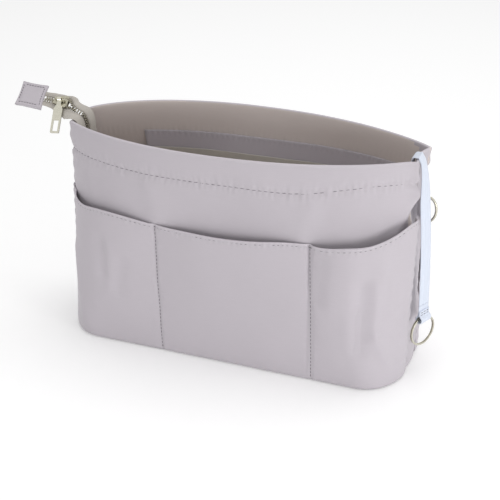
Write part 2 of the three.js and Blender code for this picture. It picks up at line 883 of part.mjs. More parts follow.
function postOutline() {
  const shape = new THREE.Shape();
  const widestShare = 0.55;
  const widest = mix(postRear, postFront, widestShare);
  shape.moveTo(postRear, 0);
  shape.quadraticCurveTo(widest, -postHalfWidth * 2, postFront, 0);
  shape.quadraticCurveTo(widest, postHalfWidth * 2, postRear, 0);
  return shape;
}

const sliderBlock = toSolid(layer(sliderOutline(sliderFlange), -plateTop, plateTop));
const sliderChannel = toSolid(layer(channelOutline(), -channelHalf, channelHalf));
const slotReach = sliderFrontHalfWidth + sliderFlange + sliderBack;
const slotShape = new THREE.Shape();
slotShape.moveTo(sliderRear - sliderBack, -slotReach);
slotShape.lineTo(sliderFront + sliderBack, -slotReach);
slotShape.lineTo(sliderFront + sliderBack, slotReach);
slotShape.lineTo(sliderRear - sliderBack, slotReach);
slotShape.closePath();
const sliderSlit = toSolid(layer(slotShape, -sliderSlot / 2, sliderSlot / 2));
const sliderPost = toSolid(layer(postOutline(), -plateTop + sliderPlate / 2, plateTop - sliderPlate / 2));
const sliderSolid = sliderBlock.subtract(sliderChannel).subtract(sliderSlit).add(sliderPost);
addMesh(slider, 'zip_slider', fromSolid(sliderSolid), nickel);

// Bridge: the wire arch on the slider that carries the pull
const bridgeFoot = plateTop + seamGap / 2;
const barHeight = bridgeFoot + bridgeRise;
const bridgeBendShare = 0.35;
const bridgePath = new THREE.CurvePath();
const bendReach = bridgeSpan * bridgeBendShare / 2;
const legHeight = barHeight - bendReach;
const bridgeHalf = bridgeSpan / 2;
const bridgeStart = point(-bridgeHalf, 0, bridgeFoot);
const bridgeEnd = point(bridgeHalf, 0, bridgeFoot);
const bridgeCorners = [
  [
    point(-bridgeHalf, 0, legHeight),
    point(-bridgeHalf, 0, barHeight),
    point(bendReach - bridgeHalf, 0, barHeight),
  ],
  [
    point(bridgeHalf - bendReach, 0, barHeight),
    point(bridgeHalf, 0, barHeight),
    point(bridgeHalf, 0, legHeight),
  ],
];
bridgePath.add(new THREE.LineCurve3(bridgeStart, bridgeCorners[0][0]));
bridgePath.add(new THREE.QuadraticBezierCurve3(...bridgeCorners[0]));
bridgePath.add(new THREE.LineCurve3(bridgeCorners[0][2], bridgeCorners[1][0]));
bridgePath.add(new THREE.QuadraticBezierCurve3(...bridgeCorners[1]));
bridgePath.add(new THREE.LineCurve3(bridgeCorners[1][2], bridgeEnd));

function planarWire(path, steps, radius, sides, sideways) {
  const rings = evenly(0, 1, steps).map((share) => {
    const centre = path.getPointAt(share);
    const run = path.getTangentAt(share);
    const out = run.clone().cross(sideways).normalize();
    return Array.from({ length: sides }, (unused, i) => {
      const angle = i * 2 * Math.PI / sides;
      return centre.clone().addScaledVector(out, radius * Math.cos(angle))
        .addScaledVector(sideways, radius * Math.sin(angle));
    });
  });
  return loft(rings, false);
}

addMesh(slider, 'slider_bridge', planarWire(bridgePath, 18, bridgeWire, 8, point(0, 1, 0)), nickel);

// Pull: a flat plate with a window, on an eye that turns round the bridge's bar
const pull = new THREE.Group();
pull.position.set(0, 0, barHeight);
pull.rotation.set(pullRestAngle, 0, pullSkewAngle);
slider.add(pull);
const eyeInner = bridgeWire + pullEyeRoom;
const eyeOuter = eyeInner + pullEyeWall;

function pullOutline() {
  const half = pullWidth / 2;
  const neck = pullNeckWidth / 2;
  const start = -(eyeInner + pullEyeWall / 2);
  const shoulder = -(eyeOuter + pullNeckLength);
  const shape = new THREE.Shape();
  shape.moveTo(-neck, start);
  shape.lineTo(-neck, shoulder);
  shape.lineTo(-half, shoulder - pullShoulder);
  shape.lineTo(-half, -pullLength + pullCorner);
  shape.quadraticCurveTo(-half, -pullLength, -half + pullCorner, -pullLength);
  shape.lineTo(half - pullCorner, -pullLength);
  shape.quadraticCurveTo(half, -pullLength, half, -pullLength + pullCorner);
  shape.lineTo(half, shoulder - pullShoulder);
  shape.lineTo(neck, shoulder);
  shape.lineTo(neck, start);
  shape.closePath();
  const inside = half - pullWindowBorder;
  const low = -pullLength + pullWindowBorder;
  const high = low + pullWindowLength;
  const window = new THREE.Path();
  window.moveTo(-inside, low);
  window.lineTo(inside, low);
  window.lineTo(inside, high);
  window.lineTo(-inside, high);
  window.closePath();
  shape.holes.push(window);
  return shape;
}

function eyeGeometry() {
  const ring = new THREE.Shape();
  ring.absarc(0, 0, eyeOuter, 0, Math.PI * 2, false);
  const bore = new THREE.Path();
  bore.absarc(0, 0, eyeInner, 0, Math.PI * 2, true);
  ring.holes.push(bore);
  const settings = { depth: pullNeckWidth, bevelEnabled: false, curveSegments: 8 };
  const geometry = new THREE.ExtrudeGeometry(ring, settings);
  geometry.rotateY(Math.PI / 2);
  geometry.translate(-pullNeckWidth / 2, 0, 0);
  return geometry;
}

const pullPlate = layer(pullOutline(), -pullThickness / 2, pullThickness / 2);
addMesh(pull, 'zip_pull', joinAll([pullPlate, eyeGeometry()]), nickel);

// Key strap: ribbed webbing sewn inside the right end, over the rim and down outside
const crestX = endPoint(1, 0, bodyHeight, 0).x - strapCrestIn;
const crestZ = bodyHeight + strapCrestGap;
const anchorFoot = bodyHeight - strapAnchorLength;

// Heights as shares of the drop from crest to strap end, distances as shares of the hang
const strapFallShares = [
  [0.006, -0.08], [0.03, 0.1], [0.12, 0.3], [0.34, 0.5], [0.5, 0.68], [0.8, 0.92], [1, 1],
];
const strapDrop = crestZ - strapEndHeight;
const strapTurnShare = 0.35;
const widestHalf = Math.max(halfLength(0), halfLength(strapEndHeight));

function strapCentre() {
  const outside = strapFallShares.map(([downShare, outShare]) => {
    const z = crestZ - strapDrop * downShare;
    const x = mix(halfLength(z), widestHalf, smooth(outShare)) + strapHang * outShare;
    return point(x, mix(strapAcross, strapEndAcross, smooth(downShare)), z);
  });
  const over = [seamGap, strapCrestRest].map((past) => point(crestX + past, strapAcross, crestZ));
  return [...over, ...outside];
}

function strapBand(places, steps, turn) {
  const curve = new THREE.CatmullRomCurve3(places, false, 'centripetal');
  return evenly(0, 1, steps).map((share) => {
    const centre = curve.getPointAt(share);
    const angle = turn * smooth(share / strapTurnShare);
    const half = point(-Math.sin(angle), Math.cos(angle), 0).multiplyScalar(strapWidth / 2);
    return [centre.clone().sub(half), centre.clone().add(half)];
  });
}

const strapOutside = strapCentre();
const strapStations = strapBand(strapOutside, 24, -strapEndTurn);
addMesh(part, 'key_strap', loft(ribbonRings(strapStations, strapThickness), false), webbing);

const anchorBendShare = 0.14;
const anchorBend = mix(crestZ, anchorFoot, anchorBendShare);

// The anchor lies against the inner face of the end panel.
function anchorX(z) {
  return endPoint(1, 0, z, wallThickness).x - seamGap - strapThickness;
}

const anchorPlaces = [
  point(anchorX(anchorFoot), strapAcross, anchorFoot),
  point(anchorX(anchorBend), strapAcross, anchorBend),
  point(mix(anchorX(bodyHeight), crestX, anchorBendShare), strapAcross, crestZ - strapThickness),
  point(crestX - strapCrestRest, strapAcross, crestZ),
  point(crestX, strapAcross, crestZ),
];
const anchorStations = strapBand(anchorPlaces, 12, 0);
addMesh(part, 'key_strap_anchor', loft(ribbonRings(anchorStations, strapThickness), false), webbing);

// Strap end: the webbing folded back round the key ring and sewn to itself
const foldOuter = foldEyeRadius + strapThickness;
const foldMiddle = strapThickness / 2;
const foldLeft = -strapThickness / 2;
const foldRight = strapThickness * 3 / 2;
const foldAngle = Math.acos(strapThickness / foldOuter);
const foldShape = new THREE.Shape();
foldShape.moveTo(foldLeft, strapEndHeight - seamGap);
foldShape.lineTo(foldLeft + strapThickness, strapEndHeight - seamGap);
foldShape.lineTo(foldLeft + strapThickness, foldLapHeight);
foldShape.lineTo(foldRight, foldLapHeight);
foldShape.lineTo(foldRight, foldEyeHeight + foldOuter * Math.sin(foldAngle));
foldShape.absarc(foldMiddle, foldEyeHeight, foldOuter, foldAngle, Math.PI - foldAngle, true);
foldShape.closePath();
const foldEye = new THREE.Path();
foldEye.absarc(foldMiddle, foldEyeHeight, foldEyeRadius, 0, Math.PI * 2, false);
foldShape.holes.push(foldEye);
const foldSettings = { depth: strapWidth, bevelEnabled: false, curveSegments: 8 };
const foldGeometry = new THREE.ExtrudeGeometry(foldShape, foldSettings);
foldGeometry.translate(0, 0, -strapWidth / 2);
foldGeometry.rotateX(Math.PI / 2);
const strapEnd = new THREE.Group();
strapEnd.position.set(strapOutside[strapOutside.length - 1].x, strapEndAcross, 0);
strapEnd.rotation.z = -strapEndTurn;
part.add(strapEnd);
addMesh(strapEnd, 'key_strap_end', fromSolid(toSolid(foldGeometry)), webbing);

// Split ring: two flat turns of one wire, hanging in the strap's eye
const ringCentreHeight = foldEyeHeight + ringSeat - ringRadius;
const ringSides = 6;
const ringSteps = 44;

function splitRing() {
  const rings = evenly(0, 1, ringSteps).map((share) => {
    const angle = Math.PI / 2 + (share - 1 / 2) * ringTurnShare * Math.PI * 2;
    const shift = (share - 1 / 2) * ringTurnShare * ringPitch;
    const out = point(0, Math.cos(angle), Math.sin(angle));
    const hub = point(shift, 0, ringCentreHeight);
    const centre = out.clone().multiplyScalar(ringRadius).add(hub);
    return Array.from({ length: ringSides }, (unused, i) => {
      const turn = (i + 1 / 2) * 2 * Math.PI / ringSides;
      return centre.clone().addScaledVector(out, ringWireWidth / 2 * Math.cos(turn))
        .add(point(ringWireHeight / 2 * Math.sin(turn), 0, 0));
    });
  });
  return loft(rings, false);
}

const ring = new THREE.Group();
ring.position.set(foldMiddle, 0, 0);
ring.rotation.z = -ringTurn;
strapEnd.add(ring);
addMesh(ring, 'split_ring', splitRing(), nickel);

// D ring: a bent wire on a cloth tab, sewn into the back seam of the right end
const deeAcrossShare = 0.5;
const dee = new THREE.Group();
dee.position.copy(endPoint(1, deeAcrossShare, deeCentreHeight, 0));
dee.position.x += deeBarOut;
part.add(dee);

function deeCurve() {
  const half = deeHeight / 2 - deeWire;
  const reach = deeDepth - 2 * deeWire;
  const bend = deeWire * 2;
  const kappaShare = 0.5523;
  const barEnd = half - bend;
  const shoulder = half - bend / 4;
  const bowStart = mix(bend, reach, kappaShare);
  const bowHeight = half - bend / 2;
  const crown = point(reach, 0, 0);
  const path = new THREE.CurvePath();
  path.add(new THREE.LineCurve3(point(0, 0, -barEnd), point(0, 0, barEnd)));
  path.add(new THREE.QuadraticBezierCurve3(
    point(0, 0, barEnd), point(0, 0, half), point(bend, 0, shoulder)));
  path.add(new THREE.CubicBezierCurve3(
    point(bend, 0, shoulder), point(bowStart, 0, bowHeight), point(reach, 0, half * kappaShare), crown));
  path.add(new THREE.CubicBezierCurve3(
    crown, point(reach, 0, -half * kappaShare), point(bowStart, 0, -bowHeight), point(bend, 0, -shoulder)));
  path.add(new THREE.QuadraticBezierCurve3(
    point(bend, 0, -shoulder), point(0, 0, -half), point(0, 0, -barEnd)));
  return path;
}

function deeRing() {
  const path = deeCurve();
  const steps = 36;
  const sides = 8;
  const sideways = point(0, 1, 0);
  const rings = Array.from({ length: steps }, (unused, k) => {
    const centre = path.getPointAt(k / steps);
    const run = path.getTangentAt(k / steps);
    const out = run.clone().cross(sideways).normalize();
    return Array.from({ length: sides }, (none, i) => {
      const angle = i * 2 * Math.PI / sides;
      return centre.clone().addScaledVector(out, deeWire * Math.cos(angle))
        .addScaledVector(sideways, deeWire * Math.sin(angle));
    });
  });
  return loft(rings, true);
}

addMesh(dee, 'd_ring', deeRing(), nickel);

// D ring tab: cloth folded round the bar, its two ends together at the seam
const deeEye = deeWire + deeEyeRoom;
const deeEyeOuter = deeEye + deeTabLayer;
const deeTabAngle = Math.asin(deeTabLayer / deeEyeOuter);
const deeTabReach = deeBarOut - deeTabRoot;
const deeTabShape = new THREE.Shape();
deeTabShape.absarc(0, 0, deeEyeOuter, Math.PI + deeTabAngle, Math.PI - deeTabAngle, false);
deeTabShape.lineTo(-deeTabReach, deeTabLayer);
deeTabShape.lineTo(-deeTabReach, -deeTabLayer);
deeTabShape.closePath();
const deeTabEye = new THREE.Path();
deeTabEye.absarc(0, 0, deeEye, 0, Math.PI * 2, false);
deeTabShape.holes.push(deeTabEye);
const deeTabGeometry = new THREE.ExtrudeGeometry(deeTabShape, {
  depth: deeTabHeight, bevelEnabled: false, curveSegments: 8,
});
deeTabGeometry.translate(0, 0, -deeTabHeight / 2);
addMesh(dee, 'd_ring_tab', fromSolid(toSolid(deeTabGeometry)), nylon);

export default part;
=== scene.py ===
from math import acos, cos, exp, pi, radians, sin

import bmesh
import bpy
import numpy as np
from mathutils import Matrix, Vector, noise


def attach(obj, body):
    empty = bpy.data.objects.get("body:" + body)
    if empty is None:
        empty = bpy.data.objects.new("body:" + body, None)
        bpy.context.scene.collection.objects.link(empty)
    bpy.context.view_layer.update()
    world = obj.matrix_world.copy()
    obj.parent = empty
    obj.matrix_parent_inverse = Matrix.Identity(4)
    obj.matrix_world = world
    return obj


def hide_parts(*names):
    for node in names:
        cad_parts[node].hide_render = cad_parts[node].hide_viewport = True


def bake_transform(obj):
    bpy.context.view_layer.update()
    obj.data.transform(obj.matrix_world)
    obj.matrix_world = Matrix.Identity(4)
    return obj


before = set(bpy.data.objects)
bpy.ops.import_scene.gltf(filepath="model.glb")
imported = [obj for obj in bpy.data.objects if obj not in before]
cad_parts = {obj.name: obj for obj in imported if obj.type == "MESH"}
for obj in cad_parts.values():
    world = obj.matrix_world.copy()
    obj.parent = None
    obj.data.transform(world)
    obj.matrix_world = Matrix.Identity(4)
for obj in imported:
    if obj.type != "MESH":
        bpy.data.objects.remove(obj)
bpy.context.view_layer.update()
scene = bpy.context.scene
scene.view_settings.view_transform = "Standard"

# Studio: a pale floor under one wide lamp, with two weak cards low on the right and in front,
# and the camera in front of the bag, a little to its right and above. None of it is the bag.
MM = 0.001
photo_width = 500
focal_pixels = 1190
sensor_width = 36
camera_turn = radians(20.6)
camera_rise = radians(27.2)
camera_range = 1.175
camera_aim = Vector((0.0055, 0, 0.093))
lamp_aim = Vector((0, 0, 0.1))
floor_size = 6
floor_tone = 0.92
seen_floor_tone = 0.93
floor_glow = 0.16
air_level = 0.64


def srgb(red, green, blue):
    """A colour given as a screen shows it, as the shaders want it."""
    return tuple((c / 255 / 12.92) if c <= 10 else ((c / 255 + 0.055) / 1.055) ** 2.4
                 for c in (red, green, blue)) + (1.0,)


def toned(colour, factor):
    return tuple(min(1, c * factor) for c in colour[:3]) + (1,)


class Nodes:
    """Fills the node tree of a material or world. Every call adds a node."""

    def __init__(self, owner):
        owner.use_nodes = True
        self.tree = owner.node_tree
        self.tree.nodes.clear()

    def add(self, kind, **settings):
        """A setting is one of the node's own or an input, by name or as in_ and its number.
        A node or a socket given for an input is linked to it."""
        node = self.tree.nodes.new("ShaderNode" + kind)
        for key, value in settings.items():
            if hasattr(node, key):
                setattr(node, key, value)
                continue
            target = node.inputs[int(key[3:]) if key.startswith("in_") else key.replace("_", " ")]
            if isinstance(value, bpy.types.Node):
                value = value.outputs[0]
            if isinstance(value, bpy.types.NodeSocket):
                self.tree.links.new(value, target)
            else:
                target.default_value = value
        return node

    def seen_directly(self):
        """1 where the camera or a reflection sees the surface, and 0 for the light that it sends on."""
        path = self.add("LightPath").outputs
        return self.add("Math", operation="MAXIMUM", in_0=path["Is Camera Ray"], in_1=path["Is Glossy Ray"])

    def place(self):
        return self.add("TexCoord").outputs["Object"]

    def bands(self, axis, width, wobble, vector, **more):
        """Stripes across an axis, each of that width in mm."""
        return self.add("TexWave", wave_type="BANDS", bands_direction=axis, Scale=2 * pi / 20 / (width * MM),
                        Distortion=wobble, Vector=vector, **more).outputs["Fac"]

    def times(self, first, second):
        return self.add("Math", operation="MULTIPLY", in_0=first, in_1=second)

    def summed(self, first, first_share, second, second_share):
        return self.add("Math", operation="MULTIPLY_ADD", in_0=first, in_1=first_share,
                        in_2=self.times(second, second_share))

    def mixed(self, share, first, second, blend="MIX"):
        node = self.add("Mix", data_type="RGBA", blend_type=blend, in_0=share, in_6=first, in_7=second)
        return node.outputs[2]

    def raised(self, height, strength, depth, **more):
        """Relief of that depth in mm."""
        return self.add("Bump", Strength=strength, Distance=depth * MM, Height=height, **more)

    def surface(self, **settings):
        self.add("OutputMaterial", Surface=self.add("BsdfPrincipled", **settings))


camera_back = Vector((sin(camera_turn) * cos(camera_rise), -cos(camera_turn) * cos(camera_rise),
                      sin(camera_rise)))
camera_data = bpy.data.cameras.new("studio_camera")
camera_data.sensor_width = sensor_width
camera_data.lens = focal_pixels * sensor_width / photo_width
camera = bpy.data.objects.new("studio_camera", camera_data)
camera.location = camera_aim + camera_back * camera_range
camera.rotation_euler = (-camera_back).to_track_quat("-Z", "Y").to_euler()
scene.collection.objects.link(camera)
scene.camera = camera

floor_cloth = bpy.data.materials.new("studio_floor")
nodes = Nodes(floor_cloth)
plain = nodes.add("BsdfDiffuse", Color=(floor_tone,) * 3 + (1,))
pale = nodes.add("BsdfDiffuse", Color=(seen_floor_tone,) * 3 + (1,))
glow = nodes.add("Emission", Color=(1, 1, 1, 1), Strength=floor_glow)
nodes.add("OutputMaterial", Surface=nodes.add("MixShader", in_0=nodes.seen_directly(), in_1=plain,
                                              in_2=nodes.add("AddShader", in_0=pale, in_1=glow)))

bm = bmesh.new()
bmesh.ops.create_grid(bm, x_segments=1, y_segments=1, size=floor_size)
floor_mesh = bpy.data.meshes.new("studio_floor")
bm.to_mesh(floor_mesh)
bm.free()
floor_mesh.materials.append(floor_cloth)
floor = bpy.data.objects.new("studio_floor", floor_mesh)
scene.collection.objects.link(floor)

scene.world = bpy.data.worlds.new("studio_air")
nodes = Nodes(scene.world)
level = nodes.add("MapRange", To_Min=air_level, To_Max=1.0, Value=nodes.seen_directly())
nodes.add("OutputWorld", Surface=nodes.add("Background", Color=(1, 1, 1, 1), Strength=level))


def soft_lamp(name, place, size, power):
    data = bpy.data.lights.new(name, "AREA")
    data.shape = "DISK"
    data.size = size
    data.energy = power
    lamp = bpy.data.objects.new(name, data)
    lamp.location = place
    lamp.rotation_euler = (lamp_aim - Vector(place)).to_track_quat("-Z", "Y").to_euler()
    lamp.visible_camera = False
    scene.collection.objects.link(lamp)


soft_lamp("top_lamp", (0.1, 0.4, 1.9), 1.5, 11)
soft_lamp("right_card", (0.95, -0.5, 0.18), 0.4, 4)
soft_lamp("front_card", (-0.4, -0.95, 0.15), 0.4, 1.4)

# Long walls: padded satin nylon, one panel in front and one behind. Each wraps round both ends
# to the side seams, folds over at the rim and is lined inside. A row of topstitching under the
# rim holds the zip flap on the inside. Sizes are in mm.
base_length = 344
rim_length = 340
body_height = 216
half_depth = 64.5
rim_sway = 9
rim_skew = 3
rim_share = 0.22
back_crown = 5
base_corner = 37
rim_corner = 170
# Powers of the rounded corners' outline
base_powers = (2, 0.5)
rim_powers = (2.2, 0.85)
wall_foot = 4.4
wall_thick = 3
gusset_half = 19
measured_height = 110
collar_stitch = 5.6
collar_thread = 0.58
nylon_colour = srgb(192, 186, 192)
# Painted light: the lining is given a paler colour than its cloth, so that the inside of the bag, which the
# lamps reach little, looks lit
lining_colour_with_painted_light = srgb(218, 208, 203)
# The thread is painted much darker than the cloth: the dark stands for the shade in the stitch holes, on top
# of the thread's own tone
thread_and_hole_shade_colour = srgb(92, 86, 93)
thread_width = 0.5
# The two long walls, with the sign of their side
sides = ((-1, "front"), (1, "back"))


def mix(start, end, share):
    return start + (end - start) * share


def held(share):
    return min(1, max(0, share))


def ease(share):
    share = held(share)
    return share * share * (3 - 2 * share)


def bump(distance, width):
    return exp(-(distance / width) ** 2)


def rise(z):
    return held(z / body_height)


def opening(z):
    return rise(z) ** 1.5


def half_length(z):
    return mix(base_length, rim_length, opening(z)) / 2


def sway(z):
    return rim_sway * opening(z)


def near_rim(z):
    return max(0, rise(z) - (1 - rim_share)) / rim_share


def skew(z, share):
    """How far the right end turns at the rim, its back corner standing further out."""
    return rim_skew * (near_rim(z) * max(0, share)) ** 2


def wall_point(side, along, z, depth):
    """A point in the front (side -1) or back (side 1) wall, depth mm in from its face."""
    opened = opening(z)
    reach = half_length(z) - depth
    seam = gusset_half - depth * 0.5 * opened
    corner = mix(base_corner, rim_corner, opened) - depth
    x = reach * sin(along * pi / 2)
    into = held((abs(x) - (reach - corner)) / corner)
    crown = half_depth - depth - seam
    first, second = (mix(low, high, opened) for low, high in zip(base_powers, rim_powers))
    y = seam + crown * max(0, 1 - into ** first) ** second
    return Vector((x + side * skew(z, x / reach), side * y + sway(z) * x / reach, z))


def rim_height(side, along):
    wave = sin(pi * ((1 + along) / 2) ** 0.7)
    return body_height if side < 0 else body_height + back_crown * wave * wave


def run_lengths(points):
    """The distance along a line to each of its points."""
    return np.concatenate([[0], np.cumsum(np.linalg.norm(np.diff(points, axis=0), axis=1))])


along_steps = np.linspace(-1, 1, 401)
along_runs = run_lengths(np.array([wall_point(-1, a, measured_height, 0) for a in along_steps]))
wall_run = along_runs[-1]


def run_of(along):
    """The distance along the cloth from the left side seam."""
    return float(np.interp(along, along_steps, along_runs))


def along_of(run):
    return float(np.interp(run, along_runs, along_steps))


def to_seam(run):
    return min(run, wall_run - run)


# Where a layer's section leaves its foot, reaches and leaves its top and is back at its foot
section_stops = (0, 0.02, 0.58, 0.64, 0.98, 1)
section_turns = (-pi / 2, 0, 0, pi, pi, 3 * pi / 2)


def round_the_edge(v, foot, top, thick):
    """Height, depth and side of a cloth layer's section: up its face, over the top and down its back."""
    radius = thick / 2
    low, high = foot + radius, top - radius
    turn = float(np.interp(v, section_stops, section_turns))
    level = float(np.interp(v, section_stops, (low, low, high, high, low, low)))
    at_back = section_stops[3] < v <= section_stops[4]
    return level + radius * sin(turn), radius - radius * cos(turn), -1 if at_back else max(0, cos(turn))


def up_the_cloth(v, z, top):
    """The distance up the face of a layer and on down its back."""
    middle_of_top = 0.61
    return z if v < middle_of_top else 2 * top - z


def cloth_layer(columns, rows, place, *which):
    """A closed layer of cloth: place gives each point, its weave coordinates, its pucker and how much of the
    edge tone it takes.
    """
    bm = bmesh.new()
    weave = bm.loops.layers.uv.new("weave")
    pucker = bm.verts.layers.float.new("pucker")
    edge_tone = bm.verts.layers.float.new("edge_tone")
    bmesh.ops.create_grid(bm, x_segments=columns, y_segments=rows, size=0.5)
    spots = {}
    for vert in bm.verts:
        where, across, up, drawn, toned_edge = place(*which, vert.co.x + 0.5, vert.co.y + 0.5)
        spots[vert] = (across * MM, up * MM)
        vert.co = where * MM
        vert[pucker] = drawn
        vert[edge_tone] = toned_edge
    for face in bm.faces:
        for loop in face.loops:
            loop[weave].uv = spots[loop.vert]
    bmesh.ops.remove_doubles(bm, verts=bm.verts, dist=1e-6)
    bmesh.ops.holes_fill(bm, edges=[e for e in bm.edges if e.is_boundary], sides=0)
    bmesh.ops.recalc_face_normals(bm, faces=bm.faces)
    return bm


def finish_piece(name, bm, body, materials, nodes, smooth=True):
    mesh = bpy.data.meshes.new(name)
    bm.to_mesh(mesh)
    bm.free()
    for material in materials:
        mesh.materials.append(material)
    if smooth:
        mesh.shade_smooth()
    piece = bpy.data.objects.new(name, mesh)
    scene.collection.objects.link(piece)
    if body:
        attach(piece, body)
    if nodes:
        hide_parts(*nodes)
    return piece


def woven_cloth(name, colour, rough, sheen):
    """Plain-woven cloth: fine crossing threads with painted shade between them, soft creases, puckers at the
    seams and a paler tone along folded edges.
    """
    material = bpy.data.materials.new(name)
    nodes = Nodes(material)
    weave, place = nodes.add("UVMap", uv_map="weave"), nodes.place()
    cross = nodes.times(*(nodes.bands(axis, thread_width, 0.6, weave) for axis in "XY"))
    streaks = nodes.add("TexNoise", Scale=1.0, Detail=3.0, Roughness=0.6,
                        Vector=nodes.add("Mapping", Scale=(90, 900, 1), Vector=weave)).outputs["Fac"]
    clouds = nodes.add("TexNoise", Scale=16.0, Detail=4.0, Roughness=0.55, Vector=place).outputs["Fac"]
    creases = nodes.add("TexNoise", Scale=75.0, Detail=5.0, Roughness=0.5, Vector=place).outputs["Fac"]
    toned_edge, drawn = (nodes.add("Attribute", attribute_name=name).outputs["Fac"] for name in ("edge_tone", "pucker"))
    # Colour: slight clouding, thread streaks, painted shade in the hollows between the threads and a paler
    # tone along the crest of folded edges
    shade = nodes.mixed(nodes.summed(clouds, 0.45, streaks, 0.55), toned(colour, 0.93), toned(colour, 1.05))
    # Painted shade: the colour is darker where the crossing threads lie low
    low = nodes.add("Math", operation="SUBTRACT", in_0=1.0, in_1=cross)
    shade = nodes.mixed(nodes.times(low, 0.5), shade, (0.9, 0.89, 0.9, 1), "MULTIPLY")
    # Paler along the crest of folded edges, where the vertex attribute marks them
    shade = nodes.mixed(nodes.times(toned_edge, 0.5), shade, toned(colour, 1.16))
    # Relief: threads, small creases and the ripples that stitching draws into the cloth
    threads = nodes.raised(cross, 0.5, 0.12)
    soft = nodes.raised(creases, 0.35, 0.35, Normal=threads)
    ripple = nodes.bands("X", collar_stitch, 1.6, weave, Detail=1.0)
    sewn = nodes.raised(nodes.times(ripple, drawn), 0.8, 0.45, Normal=soft)
    gloss = nodes.add("MapRange", To_Min=rough - 0.06, To_Max=rough + 0.08, Value=clouds)
    nodes.surface(Base_Color=shade, Roughness=gloss, Normal=sewn, Sheen_Weight=sheen, Sheen_Roughness=0.45,
                  Specular_IOR_Level=0.35)
    return material


nylon = woven_cloth("satin_nylon", nylon_colour, 0.56, 0.18)
lining = woven_cloth("nylon_lining", lining_colour_with_painted_light, 0.66, 0.12)


def collar_line(along):
    """The height of the topstitching under the rim, which climbs to the right."""
    return 188.5 + 8 * ease((along - 0.22) / 0.4) - 1.5 * ease((along - 0.8) / 0.2)


def fold_lift(folds, run, z):
    """The height of soft folds, each from (run, height) to (run, height) with a width and a rise."""
    lift = 0
    for r0, z0, r1, z1, width, rises in folds:
        dr, dz = r1 - r0, z1 - z0
        share = held(((run - r0) * dr + (z - z0) * dz) / (dr * dr + dz * dz))
        gap = ((run - r0 - dr * share) ** 2 + (z - z0 - dz * share) ** 2) ** 0.5
        lift += rises * bump(gap, width)
    return lift


def seam_wave(z, start=0.0):
    """The wave that a sewn edge falls into."""
    return 0.5 * sin(2 * pi * z / 13 + 1.6 * sin(z / 19) + start)


def soft_noise(x, y, z):
    return noise.noise(Vector((x, y, z)))


wall_folds = [
    (376, 184, 352, 150, 5, 1.4),
    (381, 172, 362, 142, 5, -1.4),
    (264, 142, 274, 182, 9, 0.9),
    (284, 146, 290, 180, 8, -0.6),
    (328, 184, 318, 158, 8, -0.7),
    (119, 178, 129, 140, 9, 0.7),
    (102, 176, 110, 148, 9, -0.5),
    (40, 182, 52, 150, 9, 0.7),
]


def corner_dent(side, z, to_right):
    """How far the front wall is drawn in at the right seam above the pocket, less its rise higher up."""
    if side > 0:
        return 0
    return 5 * bump(z - 165, 10) * bump(to_right, 10) - 3.2 * ease((z - 170) / 14) * bump(to_right, 9)


def wall_lift(side, along, z, run):
    """How far the outer cloth stands off its plain shape."""
    line = collar_line(along)
    share = (z - line) / (rim_height(side, along) - line)
    # The stitched groove, the swell under it and the padded collar over it, with its puckers
    lift = -0.6 * bump(z - line, 1.6) + 0.4 * bump(z - line + 7, 4)
    if 0 < share < 1:
        lift += 0.9 * sin(pi * share) ** 0.8
    lift += 0.8 * soft_noise(run / 5.5, z / 17, side * 3.0) * bump(z - line, 9)
    # The side seams
    edge = to_seam(run)
    lift += seam_wave(z) * bump(edge, 10) - 1.2 * bump(edge, 2.2)
    lift -= 1.3 * bump(z - line, 3) * bump(edge, 16)
    if side < 0:
        lift += fold_lift(wall_folds, run, z)
    lift += 1.0 * soft_noise(run / 46, z / 60, side * 7.0) * ease((z - 20) / 50)
    return lift


def wall_place(side, u, v):
    run = u * wall_run
    along = along_of(run)
    top = rim_height(side, along)
    z, depth, face = round_the_edge(v, wall_foot, top, wall_thick)
    if face > 0:
        depth -= wall_lift(side, along, z, run) * face
    depth += corner_dent(side, z, wall_run - run)
    line = collar_line(along)
    drawn = bump(z - line, 5) if face > 0 else 0.6 * bump(z - line, 4)
    return wall_point(side, along, z, depth), run, up_the_cloth(v, z, top), drawn, bump(z - top, 1.2)


def lined_panel(name, bm, node, is_inside, side):
    """A padded panel of nylon, with lining on the faces whose middle is inside."""
    for face in bm.faces:
        if is_inside(side, face.calc_center_median() / MM):
            face.material_index = 1
    panel = finish_piece(name, bm, "bag", [nylon, lining], [node])


# The lining starts this far under the rim, and this share of the thickness in from the face
lining_drop = 0.8
lining_share = 0.75


def inside_wall(side, centre):
    reach = half_length(centre.z) - wall_thick / 2
    along = np.arcsin(max(-1, min(1, centre.x / reach))) * 2 / pi
    dent = corner_dent(side, centre.z, wall_run - run_of(along))
    middle = wall_point(side, along, centre.z, wall_thick * lining_share + dent)
    return side * centre.y < side * middle.y and centre.z < rim_height(side, along) - lining_drop


for side, end in sides:
    wall = cloth_layer(230, 180, wall_place, side)
    lined_panel(end + "_wall_cloth", wall, end + "_wall", inside_wall, side)

thread_finish = bpy.data.materials.new("sewing_thread")
nodes = Nodes(thread_finish)
twist = nodes.add("TexWave", wave_type="BANDS", bands_direction="DIAGONAL", Scale=900.0, Distortion=0.5,
                  Vector=nodes.place()).outputs["Fac"]
# Painted shade in the grooves of the thread's twist
nodes.surface(Base_Color=nodes.mixed(twist, toned(thread_and_hole_shade_colour, 0.8), thread_and_hole_shade_colour), Roughness=0.6,
              Sheen_Weight=0.3, Normal=nodes.raised(twist, 0.6, 0.1))


